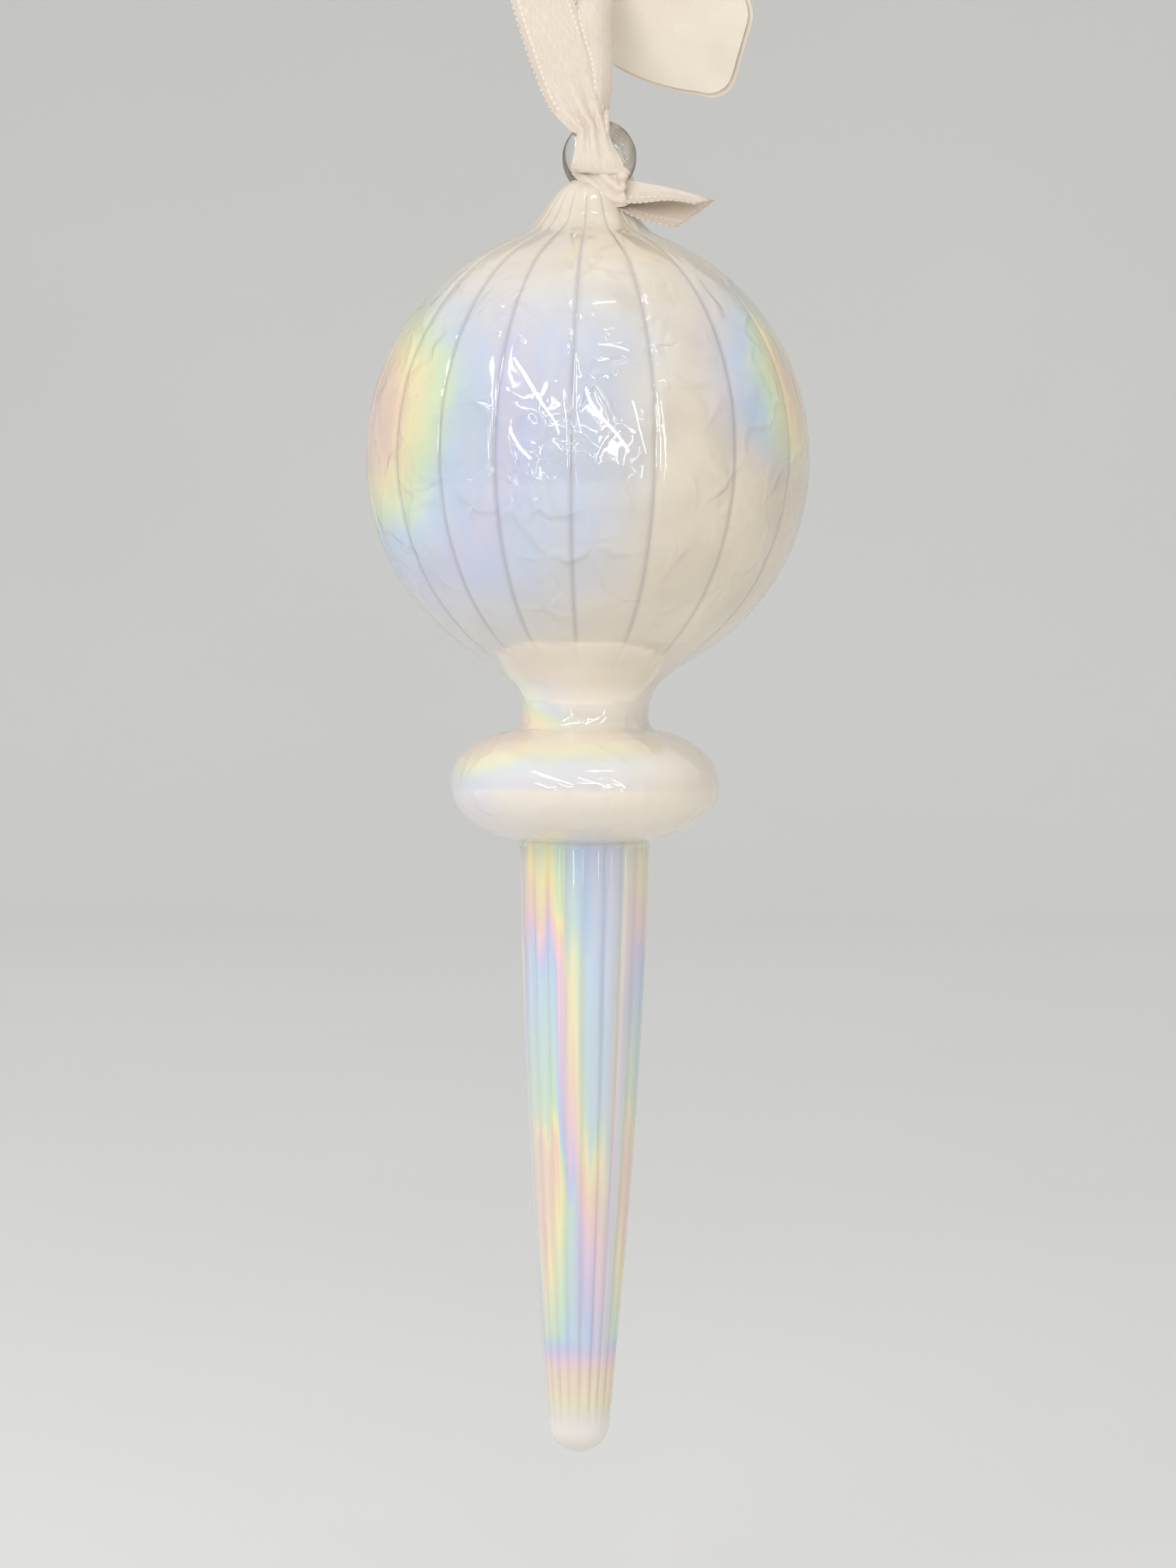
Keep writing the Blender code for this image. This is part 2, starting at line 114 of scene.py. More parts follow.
# The icicle's lustre, in strips that repeat three times round it: the strip's angle in degrees, how
# strong it is, and the colour's phase at each depth below the collar
ICICLE_STRIPS = (
    (
        -75.0,
        0.30,
        ((0, 0.30), (20, -0.20), (30, -0.50),
         (60, -0.85), (75, -0.60), (92, -0.60)),
    ),
    (
        -52.0,
        0.70,
        ((0, 0.30), (8, 0.22), (15, 0.0), (20, -0.45),
         (46, -0.62), (52, -0.9), (70, -0.9), (92, -0.5)),
    ),
    (
        -33.0,
        0.85,
        ((0, 0.34), (13, 0.18), (18, -0.15), (23, -0.52),
         (48, -0.62), (55, -0.95), (70, -0.75), (92, -0.5)),
    ),
    (
        -13.0,
        0.85,
        ((0, 0.50), (14, 0.42), (19, 0.25), (31, 0.20),
         (42, 0.05), (52, -0.2), (60, -0.6), (92, -0.45)),
    ),
    (
        8.0,
        0.80,
        ((0, 0.60), (20, 0.52), (48, 0.48), (55, 0.25),
         (62, 0.10), (74, -0.20), (88, -0.5), (100, -0.75)),
    ),
    (
        30.0,
        0.40,
        ((0, 0.64), (30, 0.55), (50, 0.50), (57, 0.28),
         (66, 0.12), (80, -0.10), (92, -0.45)),
    ),
    (
        45.0,
        0.30,
        ((0, 0.30), (20, -0.20), (30, -0.50),
         (60, -0.85), (75, -0.60), (92, -0.60)),
    ),
)

RING_OUTSIDE, RING_ROD = 6.5, 2.0
# Where the ring melted on to the cone: radius and height down the foot
RING_FOOT = (
    (0.05, -9.0),
    (2.2, -9.1),
    (2.6, -9.9),
    (3.3, -10.6),
    (3.9, -11.0),
    (3.4, -11.6),
    (0.05, -11.8),
)
ROD_HEIGHT = -RING_ROD  # centre of the rod where the ribbon goes over it

# Ribbon
RIBBON_WIDTH = 10.0
SATIN_THICK = 0.26
PICOT_PITCH = 1.05
SEAM_INSET = 0.95  # the row of stitches beside each edge
TWIST_ZONE = (23.0, 3.4)  # heights that bound the loop's twist zone
SWING_ZONE = (2.2, -3.6)

# The ribbon's main run, from the fold below the ring up the front strand, over the hook, down the
# back strand and behind the ring to the cut end. Each station is a point (x, y, height), the
# direction of the ribbon's width (degrees from +X, then its rise), the curl in degrees, the width
# and the pleats' depth.
FRONT_TURN = (
    ((1.2, -4.2, -9.1), (180, 0.14), 42, 9.2, 0.03),
    ((1.2, -4.7, -9.7), (180, 0.14), 42, 9.4, 0.03),
    ((1.2, -5.3, -9.5), (180, 0.14), 42, 9.4, 0.04),
    ((1.05, -5.6, -7.8), (180, 0.12), 46, 8.8, 0.08),
    ((0.7, -5.5, -5.6), (180, 0.05), 50, 7.1, 0.18),
    ((0.45, -5.1, -3.3), (180, 0.0), 54, 5.9, 0.30),
    ((0.2, -4.5, -1.4), (180, 0.0), 60, 5.6, 0.42),
    ((-0.85, -3.6, 0.5), (180, 0.0), 62, 7.2, 0.46),
    ((-1.45, -3.0, 1.7), (180, 0.0), 56, 8.2, 0.38),
)
LOOP_ROUTE = (
    ((-2.15, -2.6, 3.0), (180, 0), 48, 9.1, 0.28),
    ((-3.45, -2.3, 6.0), (180, 0), 40, 10.1, 0.12),
    ((-4.8, -2.3, 10.2), (180, 0), 28, 10.6, 0.03),
    ((-6.4, -2.35, 14.3), (180, 0), 18, 10.3, 0.0),
    ((-8.7, -2.4, 21.1), (178, 0), 10, 10.1, 0.0),
    ((-11.6, -2.9, 31.0), (165, 0), 6, 10.0, 0.0),
    ((-12.5, -2.6, 41.0), (142, 0), 6, 10.0, 0.0),
    ((-10.9, -1.6, 51.5), (118, 0), 6, 10.0, 0.0),
    ((-8.0, -0.6, 60.5), (100, 0), 6, 10.0, 0.0),
    ((-6.0, 0.0, 66.3), (92, 0), 4, 10.0, 0.0),
    ((-4.3, 0.0, 70.6), (90, 0), 4, 10.0, 0.0),
    ((0.0, 0.0, 72.3), (90, 0), 4, 10.0, 0.0),
    ((4.3, 0.2, 70.6), (88, 0), 4, 10.0, 0.0),
    ((6.2, 1.0, 66.0), (84, 0), 8, 10.0, 0.0),
    ((7.0, 3.6, 58.0), (70, 0), 20, 10.0, 0.0),
    ((6.8, 8.0, 48.0), (45, 0), 90, 10.0, 0.0),
    ((5.2, 11.6, 39.6), (16, 0), 200, 10.0, 0.0),
    ((3.3, 11.6, 34.8), (4, 0), 300, 10.0, 0.0),
    ((2.3, 9.6, 32.4), (0, 0), 340, 10.0, 0.0),
    ((2.0, 6.2, 30.1), (0, 0), 340, 10.0, 0.0),
    ((1.6, 3.0, 27.8), (0, 0), 320, 10.0, 0.0),
    ((1.2, 0.6, 24.4), (14, 0), 210, 10.0, 0.0),
    ((1.6, -2.0, 19.0), (30, 0), 150, 10.0, 0.0),
    ((3.15, -0.6, 11.2), (60, 0), 168, 9.4, 0.0),
    ((3.45, 0.2, 5.6), (75, 0), 180, 8.6, 0.08),
    ((3.2, 0.9, 3.0), (84, 0), 180, 8.0, 0.16),
)
BACK_RUN = (
    ((3.1, 2.2, 1.1), (106, 0), 150, 7.4, 0.34),
    ((2.1, 3.9, -0.8), (150, 0), 90, 5.8, 0.46),
    ((1.7, 4.8, -2.4), (175, 0), 64, 5.2, 0.44),
    ((1.6, 5.2, -4.6), (180, 0), 50, 5.6, 0.32),
    ((1.6, 5.9, -7.4), (180, 0), 44, 6.8, 0.16),
    ((1.5, 7.6, -10.2), (180, 0.05), 40, 8.2, 0.05),
    ((1.3, 10.0, -13.1), (180, 0.10), 40, 9.2, 0.0),
    ((1.1, 12.1, -15.6), (180, 0.22), 44, 9.6, 0.0),
    ((0.9, 13.4, -17.3), (180, 0.35), 46, 9.8, 0.0),
)
# The under layer that crosses below the fold and turns in again at its right-hand end
SIDE_RUN = (
    ((-1.9, -3.6, -7.2), (10, 4.0), 30, 5.4, 0.22),
    ((-0.2, -4.2, -8.3), (20, 2.7), 30, 6.2, 0.24),
    ((1.8, -5.0, -9.6), (22, 2.1), 28, 7.0, 0.26),
    ((3.6, -5.8, -11.3), (18, 2.2), 24, 7.2, 0.28),
    ((4.8, -6.7, -12.4), (8, 3.2), 18, 6.2, 0.26),
    ((5.7, -7.0, -12.3), (0, 5.0), 10, 5.8, 0.20),
    ((6.1, -6.5, -12.2), (0, 6.0), 8, 5.4, 0.16),
    ((5.6, -5.9, -12.1), (0, 6.0), 8, 5.0, 0.14),
)
# The leg that comes through the ring from behind on the right, down to the tail
RIGHT_LEG = (
    ((1.9, 4.6, -3.4), (-30, -0.9), 150, 6.0, 0.20),
    ((3.3, 4.5, -5.4), (-30, -0.7), 165, 6.6, 0.14),
    ((4.7, 3.6, -7.6), (-30, -0.5), 165, 7.0, 0.10),
    ((5.7, 1.2, -9.6), (-24, -0.3), 150, 7.0, 0.08),
    ((6.3, -1.8, -10.8), (-20, -0.1), 130, 6.8, 0.10),
    ((6.5, -4.2, -11.6), (-20, 0.0), 120, 6.6, 0.10),
)
# The tail is folded lengthwise. Each station is the near edge, the fold and the far edge
SIDE_TAIL = (
    ((4.3, -6.4, -14.7), (5.2, -5.0, -10.4), (4.2, -5.8, -15.2)),
    ((6.4, -7.3, -14.9), (7.0, -5.0, -10.6), (6.2, -6.4, -16.4)),
    ((8.6, -8.2, -14.9), (9.2, -5.2, -11.0), (8.3, -7.1, -17.4)),
    ((10.9, -8.8, -14.7), (11.4, -5.5, -11.4), (10.3, -7.6, -18.0)),
    ((13.2, -9.0, -14.5), (13.7, -5.8, -11.9), (12.0, -8.0, -18.4)),
    ((15.2, -8.9, -14.6), (16.1, -6.1, -12.5), (13.3, -8.2, -18.7)),
    ((16.7, -8.5, -14.8), (18.6, -6.4, -13.2), (14.2, -8.3, -18.85)),
    ((17.9, -7.9, -15.0), (21.3, -6.8, -13.9), (14.9, -8.3, -18.9)),
)
FOLD_SHARE = 0.40  # of the tail's width that lies in the near layer
WRAP_RADIUS, WRAP_WIDTH = 3.2, 5.2
WRAP_PLEATS = 0.42

# Tag
TAG_PIVOT = (2.0, 7.0, 28.8)
TAG_TURN = 24.0
TAG_YAW, TAG_LEAN = -15.0, 30.0  # its far end and its top come a little forward
TAG_WIDTH, TAG_HEIGHT = 33.8, 20.8
TAG_MARGIN, TAG_CORNER, TAG_ARCH, TAG_HOLE = 4.5, 5.0, 1.8, 3.2
TAG_LEAF, TAG_BEVEL = 0.3, 0.05
TAG_BOW = 0.35  # how far the far end bows to the front
TAG_SPREAD = 0.33  # from the tag's middle plane to the middle of a leaf
TAG_STEP = 0.7  # the front leaf is cut this much shorter at its lower edge and far end

# Camera, looking at the collar from a little above it
VIEW_CENTRE_SIDE, VIEW_CENTRE_HEIGHT = 0.57, -114.9
VIEW_ELEVATION = 2.6
VIEW_ROLL = 0.5  # the ornament hangs this much out of plumb
VIEW_DISTANCE = 0.70
VIEW_HEIGHT = 0.2731  # metres of the object's plane that the frame's long side covers
SENSOR = 36.0

FLOOR_DROP = 0.036  # floor below the icicle's tip

# Lamps in metres and watts: name, where it is from the view's centre, size, power, colour
LAMPS = (
    ("key", (-0.75, -0.75, 0.70), (1.0, 1.0), 2.3, (1.0, 0.98, 0.95)),
    ("fill", (0.95, -0.60, 0.25), (0.8, 0.9), 1.3, (1.0, 0.95, 0.88)),
    ("overhead", (0.12, -0.05, 0.95), (0.55, 0.5), 0.25, (0.98, 0.99, 1.0)),
    ("side_left", (-0.9, 0.12, 0.18), (0.4, 0.9), 2.2, (0.95, 0.97, 1.0)),
    ("low", (-0.15, -0.80, -0.08), (0.9, 0.10), 0.5, (1.0, 0.97, 0.92)),
)
# Thin lamps that draw the highlights: both ends from the ball's centre, and the power
STRIPS = (
    ((-0.61, -0.45, 0.66), (-0.17, -0.97, 0.16), 1.5),
    ((-0.08, -0.85, 0.50), (0.36, -0.93, 0.0), 1.25),
    ((0.38, -0.84, 0.42), (0.56, -0.82, 0.0), 0.3),
    ((-0.02, -0.26, 0.93), (0.20, -0.20, 0.93), 0.12),
    ((-0.66, -0.74, 0.20), (-0.50, -0.86, -0.02), 0.25),
    ((0.05, -0.62, 0.80), (0.35, -0.58, 0.74), 0.15),
    ((-0.42, -0.90, -0.08), (-0.42, -0.90, -0.18), 0.05),
    ((0.50, -0.84, -0.08), (0.50, -0.84, -0.18), 0.05),
)
STRIP_WIDTH = 0.024


def srgb(red, green, blue):
    """A linear colour from the 0 to 255 values that a screen shows."""
    return tuple(((c / 255 + 0.055) / 1.055) ** 2.4 for c in (red, green, blue))


CREAM = srgb(224, 213, 193)
WARM = srgb(206, 194, 174)
COOL = srgb(200, 199, 208)
# painted shade: the colour that the grooves and the flutes' valleys are darkened towards
GROOVE_SHADE_TINT = srgb(140, 130, 138)
# painted light: the tint of the painted reflection at the bottom of the ball and of the lighter neck,
# collar and icicle tip
PAINTED_LIGHT_TINT = srgb(242, 234, 220)
PASTELS = (
    (0.00, srgb(236, 192, 196)),
    (0.12, srgb(238, 202, 168)),
    (0.25, srgb(240, 228, 156)),
    (0.38, srgb(192, 224, 184)),
    (0.52, srgb(166, 200, 232)),
    (0.68, srgb(186, 184, 228)),
    (0.86, srgb(216, 188, 222)),
    (1.00, srgb(236, 192, 196)),
)


# ---------------------------------------------------------------- small helpers


def place(x, y, above_ring):
    """A point of the frame from millimetres, with the height above the ring's top."""
    return Vector((x * MM, y * MM, RING_TOP + above_ring * MM))


def fade(value, start, end):
    """0 before start, 1 after end, smooth between them; start may be above end."""
    share = min(1.0, max(0.0, (value - start) / (end - start)))
    return share * share * (3 - 2 * share)


def graph(value, *stops):
    """The height at value of the line through (x, height) stops."""
    for (x0, y0), (x1, y1) in zip(stops, stops[1:]):
        if value <= x1:
            share = max(0.0, (value - x0) / (x1 - x0))
            return y0 + (y1 - y0) * share
    return stops[-1][1]


def mix(a, b, share):
    return tuple(p + (q - p) * share for p, q in zip(a, b))


def pastel(phase):
    """The colour of the lustre film at a phase that repeats every 1."""
    phase %= 1.0
    for (low, a), (high, b) in zip(PASTELS, PASTELS[1:]):
        if phase <= high:
            return mix(a, b, (phase - low) / (high - low))
    return PASTELS[-1][1]


def between(before, start, end, after, t):
    square = 2 * before - 5 * start + 4 * end - after
    cube = 3 * (start - end) + after - before
    return 0.5 * (2 * start + (end - before) * t + square * t**2 + cube * t**3)


def smooth_rows(rows, steps):
    """Rows of equal length joined by a smooth curve, with this many steps between two rows."""
    padded = [rows[0], *rows, rows[-1]]
    made = []
    for four in zip(padded, padded[1:], padded[2:], padded[3:]):
        for step in range(steps):
            made.append([between(*values, step / steps) for values in zip(*four)])
    made.append(list(rows[-1]))
    return made


def linked(name, data):
    obj = bpy.data.objects.new(name, data)
    bpy.context.scene.collection.objects.link(obj)
    return obj


def add_mesh(name, verts, faces, finish):
    mesh = bpy.data.meshes.new(name)
    mesh.from_pydata(verts, [], faces)
    mesh.materials.append(finish)
    mesh.shade_smooth()
    return linked(name, mesh)


def from_bmesh(name, bm):
    """An object with the bmesh's shape; the bmesh is used up."""
    mesh = bpy.data.meshes.new(name)
    bm.to_mesh(mesh)
    bm.free()
    return linked(name, mesh)


def apply_modifiers(obj):
    """Puts the result of the object's modifiers into its mesh."""
    bpy.context.view_layer.update()
    evaluated = obj.evaluated_get(bpy.context.evaluated_depsgraph_get())
    mesh = bpy.data.meshes.new_from_object(evaluated)
    obj.modifiers.clear()
    obj.data = mesh
    mesh.name = obj.name
    return obj


# ---------------------------------------------------------------- materials


class Nodes:
    """A material's node tree with short calls for the nodes used here."""

    def __init__(self, name):
        self.material = bpy.data.materials.new(name)
        self.material.use_nodes = True
        self.tree = self.material.node_tree
        self.shader = self.tree.nodes["Principled BSDF"]

    def add(self, kind, **settings):
        node = self.tree.nodes.new("ShaderNode" + kind)
        for key, value in settings.items():
            setattr(node, key, value)
        return node

    def link(self, source, target):
        self.tree.links.new(source, target)

    def put(self, **values):
        """Sets the shader's sockets, named with _ for a space."""
        for name, value in values.items():
            self.shader.inputs[name.replace("_", " ")].default_value = value

    def fill(self, socket, value):
        if isinstance(value, bpy.types.NodeSocket):
            self.link(value, socket)
        elif isinstance(value, tuple) and len(value) == 3 and socket.type == "RGBA":
            socket.default_value = (*value, 1.0)
        else:
            socket.default_value = value

    def math(self, operation, *values, clamp=False):
        node = self.add("Math", operation=operation, use_clamp=clamp)
        for socket, value in zip(node.inputs, values):
            self.fill(socket, value)
        return node.outputs[0]

    def times(self, a, b):
        return self.math("MULTIPLY", a, b)

    def mix(self, share, a, b):
        node = self.add("Mix", data_type="RGBA")
        for socket, value in zip((node.inputs[0], node.inputs[6], node.inputs[7]), (share, a, b)):
            self.fill(socket, value)
        return node.outputs[2]

    def coordinates(self, scale=(1.0, 1.0, 1.0), per=MM):
        """The object's coordinates in units of per metres, times scale."""
        source = self.add("TexCoord").outputs["Object"]
        node = self.add("Mapping")
        self.link(source, node.inputs["Vector"])
        node.inputs["Scale"].default_value = tuple(s / per for s in scale)
        return node.outputs[0]

    def noise(self, vector, scale, detail=2.0, roughness=0.5, low=0.0, high=1.0):
        """Noise between low and high; scale is in waves per unit of the vector."""
        node = self.add("TexNoise")
        self.link(vector, node.inputs["Vector"])
        node.inputs["Scale"].default_value = scale
        node.inputs["Detail"].default_value = detail
        node.inputs["Roughness"].default_value = roughness
        ranged = self.add("MapRange")
        self.link(node.outputs[0], ranged.inputs[0])
        for index, value in zip((1, 2, 3, 4), (0.3, 0.7, low, high)):
            ranged.inputs[index].default_value = value
        return ranged.outputs[0]

    def bump(self, height, distance, strength=1.0, after=None):
        node = self.add("Bump")
        self.link(height, node.inputs["Height"])
        node.inputs["Distance"].default_value = distance
        node.inputs["Strength"].default_value = strength
        if after is not None:
            self.link(after, node.inputs["Normal"])
        return node.outputs[0]

    def attribute(self, name, output="Fac"):
        return self.add("Attribute", attribute_name=name).outputs[output]

    def finish(self, colour=None, roughness=None, normal=None):
        for name, value in (("Base Color", colour), ("Roughness", roughness), ("Normal", normal)):
            if value is not None:
                self.fill(self.shader.inputs[name], value)
        return self.material


def pearl_material():
    """Milky glass under an iridescent lustre: the film's colours come with the mesh, as they
    follow the shape, and the nodes cloud them, break them up and give them their gloss."""
    n = Nodes("pearl_lustre")
    where = n.coordinates()
    film = n.attribute("film", "Color")
    strength = n.attribute("film", "Alpha")
    clouds = n.noise(where, 0.07, detail=3.0)
    body = n.mix(clouds, CREAM, WARM)
    cool = n.times(n.attribute("cool"), n.noise(where, 0.11, low=0.55, high=1.0))
    body = n.mix(cool, body, COOL)
    streaks = n.noise(n.coordinates(scale=(1.0, 1.0, 0.06)), 0.5, detail=3.0, low=0.72, high=1.0)
    colour = n.mix(n.times(strength, streaks), body, film)
    specks = n.noise(where, 2.2, detail=4.0, low=0.0, high=0.10)
    colour = n.mix(specks, colour, WARM)
    # painted shade along the grooves and in the icicle's flute valleys
    colour = n.mix(n.times(n.attribute("groove"), 0.36), colour, GROOVE_SHADE_TINT)
    # painted reflection at the bottom of the ball, with a lighter rim, and painted light on the neck, the
    # collar and the icicle's tip
    colour = n.mix(n.times(n.attribute("painted_light"), 0.8), colour, PAINTED_LIGHT_TINT)
    smears = n.noise(where, 0.16, detail=4.0, low=0.045, high=0.13)
    wavy = n.attribute("wavy")
    swell = n.bump(n.times(n.noise(where, 0.09, detail=0.0), wavy), 0.0009, 0.7)
    bent = n.add("VectorMath", operation="ADD")
    drift = n.add("TexNoise")
    n.link(where, drift.inputs["Vector"])
    drift.inputs["Scale"].default_value = 0.12
    n.link(where, bent.inputs[0])
    pushed = n.add("VectorMath", operation="SCALE")
    n.link(drift.outputs["Color"], pushed.inputs[0])
    pushed.inputs["Scale"].default_value = 9.0
    n.link(pushed.outputs[0], bent.inputs[1])
    cells = n.add("TexVoronoi", feature="DISTANCE_TO_EDGE")
    n.link(bent.outputs[0], cells.inputs["Vector"])
    cells.inputs["Scale"].default_value = 1 / CREASE_SPACING
    away = n.math("DIVIDE", cells.outputs["Distance"], CREASE_WIDTH / CREASE_SPACING)
    crease = n.math("POWER", math.e, n.times(n.times(away, away), -1.0))
    crease = n.times(crease, n.noise(where, 0.10, detail=1.0))
    crinkle = n.bump(n.times(crease, wavy), CREASE_HEIGHT * MM, 1.0, swell)
    skin = n.bump(n.noise(where, 1.2, detail=2.0), 0.000012, 0.4, crinkle)
    n.put(
        IOR=1.75,
        Subsurface_Weight=0.16,
        Subsurface_Radius=(1.0, 0.9, 0.75),
        Subsurface_Scale=0.004,
        Coat_Weight=0.7,
        Coat_Roughness=0.02,
        Coat_IOR=1.7,
    )
    return n.finish(colour, smears, skin)


def clear_material():
    """Fire-polished clear rod with faint draw lines."""
    n = Nodes("clear_glass")
    where = n.coordinates()
    smear = n.noise(where, 0.8, detail=2.0, low=0.0, high=0.03)
    lines = n.bump(n.noise(n.coordinates(scale=(0.5, 1.6, 0.5)), 0.7, detail=1.0), 0.00012, 0.35)
    n.put(IOR=1.5, Transmission_Weight=1.0)
    return n.finish(srgb(246, 250, 249), smear, lines)


def satin_material():
    """Double-faced satin. The UV map is in millimetres: across the ribbon, then along it."""
    n = Nodes("ribbon_satin")
    across = n.add("SeparateXYZ")
    uv = n.add("TexCoord").outputs["UV"]
    n.link(uv, across.inputs[0])
    u, v = across.outputs[0], across.outputs[1]
    from_middle = n.math("ABSOLUTE", n.math("SUBTRACT", u, RIBBON_WIDTH / 2))
    seam = n.math("ABSOLUTE", n.math("SUBTRACT", from_middle, RIBBON_WIDTH / 2 - SEAM_INSET))
    seam = n.math("SUBTRACT", 1.0, n.times(seam, 1 / 0.34), clamp=True)
    inset = n.math("SUBTRACT", from_middle, RIBBON_WIDTH / 2 - SEAM_INSET)
    selvage = n.math("MULTIPLY", inset, 6.0, clamp=True)
    stretched = n.add("Mapping")
    n.link(uv, stretched.inputs["Vector"])
    stretched.inputs["Scale"].default_value = (6.0, 0.55, 1.0)
    floats = n.noise(stretched.outputs[0], 1.0, detail=3.0)
    grain = n.noise(uv, 5.5, detail=2.0, roughness=0.7)
    ribs = n.times(n.math("SINE", n.times(v, 2 * math.pi / PICOT_PITCH)), 0.5)
    ribs = n.math("ADD", ribs, 0.5)
    satin = n.mix(floats, srgb(206, 191, 176), srgb(222, 209, 195))
    satin = n.mix(n.times(grain, 0.25), satin, srgb(238, 228, 215))
    # painted shade: a darker strip along each edge, the shade between the picot loops; then the row of
    # light dots at the stitches, partly the stitch row and partly painted highlight on its raised loops
    colour = n.mix(n.times(selvage, 0.35), satin, srgb(196, 182, 166))
    colour = n.mix(n.times(n.times(ribs, seam), 0.75), colour, srgb(244, 236, 224))
    roughness = n.noise(uv, 2.0, detail=2.0, low=0.28, high=0.42)
    threads = n.bump(floats, 0.00003, 0.6)
    weave = n.bump(grain, 0.000035, 0.5, threads)
    edging = n.bump(n.times(ribs, seam), 0.00007, 0.8, weave)
    n.put(Sheen_Weight=0.3, Sheen_Roughness=0.35, Anisotropic=0.5, Specular_IOR_Level=0.7)
    return n.finish(colour, roughness, edging)


def thread_material():
    n = Nodes("picot_thread")
    where = n.coordinates()
    twist = n.noise(where, 3.0, detail=2.0)
    colour = n.mix(twist, srgb(210, 197, 183), srgb(240, 231, 218))
    n.put(Sheen_Weight=0.3, Sheen_Roughness=0.4)
    roughness = n.noise(where, 2.0, low=0.4, high=0.6)
    return n.finish(colour, roughness, n.bump(twist, 0.00004, 0.6))


def card_material():
    """Uncoated card: soft fibre clouds, a faint tooth and edges a little darker than the face."""
    n = Nodes("uncoated_card")
    where = n.coordinates()
    fibres = n.noise(n.coordinates(scale=(1.0, 1.0, 1.6)), 2.4, detail=4.0, roughness=0.65)
    clouds = n.noise(where, 0.12, detail=2.0)
    colour = n.mix(clouds, srgb(232, 222, 207), srgb(224, 213, 198))
    colour = n.mix(n.times(fibres, 0.18), colour, srgb(252, 246, 238))
    colour = n.mix(n.times(n.attribute("edge"), 0.5), colour, srgb(205, 190, 176))
    n.put(Specular_IOR_Level=0.3)
    roughness = n.noise(where, 1.5, low=0.7, high=0.85)
    return n.finish(colour, roughness, n.bump(fibres, 0.00003, 0.5))


def studio_material(name, colour):
    n = Nodes(name)
    where = n.coordinates(per=1.0)
    tone = n.noise(where, 3.0, detail=3.0)
    n.put(Specular_IOR_Level=0.2)
    return n.finish(n.mix(tone, colour, mix(colour, (1.0, 1.0, 1.0), 0.06)), 0.85)


# ---------------------------------------------------------------- glass body


def groove_columns():
    """The body's columns: the angle, how far the nearest groove is in radians, and where the
    column lies between two grooves, from 0 to 1."""
    spacing = 360.0 / RIBS
    angles = list(FRONT_GROOVES)
    while len(angles) < RIBS:
        angles.append(angles[-1] + spacing)
    angles.append(angles[0] + 360.0)
    columns = []
    for start, end in zip(angles, angles[1:]):
        start, end = math.radians(start), math.radians(end)
        for share in COLUMN_SHARES:
            reach = min(share, 1 - share) * (end - start)
            columns.append((start + (end - start) * share, reach, share))
    return columns


def body_profile():
    """Radius and height down the whole glass body."""
    points = [tuple(row) for row in smooth_rows(CONE, 4)]
    for step in range(BALL_ROWS, 0, -1):
        lift = math.radians(BALL_ROW_TURN * step)
        points.append((BALL_RADIUS * math.cos(lift), BALL_CENTRE + BALL_RISE * math.sin(lift)))
    for step in range(BALL_ROWS + 1):
        dip = math.radians(BALL_ROW_TURN * step)
        points.append((BALL_RADIUS * math.cos(dip), BALL_CENTRE - BALL_FALL * math.sin(dip)))
    points += [tuple(row) for row in smooth_rows(FLARE, 4)]
    middle, half = (COLLAR_TOP + COLLAR_END) / 2, (COLLAR_TOP - COLLAR_END) / 2
    for angle in range(74, -86, -4):
        lift = math.radians(angle)
        reach = (COLLAR_RADIUS - COLLAR_ROOT) * math.cos(lift) ** COLLAR_PINCH
        points.append((COLLAR_ROOT + reach, middle + half * math.sin(lift)))
    tip_centre = ICICLE_TIP + TIP_RADIUS
    for row in range(ICICLE_ROWS):
        share = row / ICICLE_ROWS
        radius = ICICLE_TOP_RADIUS + (TIP_RADIUS - ICICLE_TOP_RADIUS) * share**ICICLE_SWELL
        points.append((radius, COLLAR_END - 0.1 + (tip_centre - COLLAR_END) * share))
    for angle in range(0, 90, 9):
        dip = math.radians(angle)
        points.append((TIP_RADIUS * math.cos(dip), tip_centre - TIP_RADIUS * math.sin(dip)))
    points.append((0.0, ICICLE_TIP))
    return points


def flute(angle, above):
    """How deep the icicle's flutes are at an angle: narrow valleys between round lobes."""
    wander = 0.35 * noise.noise(Vector((math.cos(angle) * 1.7, math.sin(angle) * 1.7, above / 90)))
    lobe = abs(math.sin(FLUTES * angle / 2 + wander * 2.2))
    fine = noise.noise(Vector((math.cos(angle) * 9, math.sin(angle) * 9, above / 55)))
    return (1 - lobe) ** 1.6, FLUTE_DEPTH * (1 - lobe) ** 1.6 + 0.10 * fine


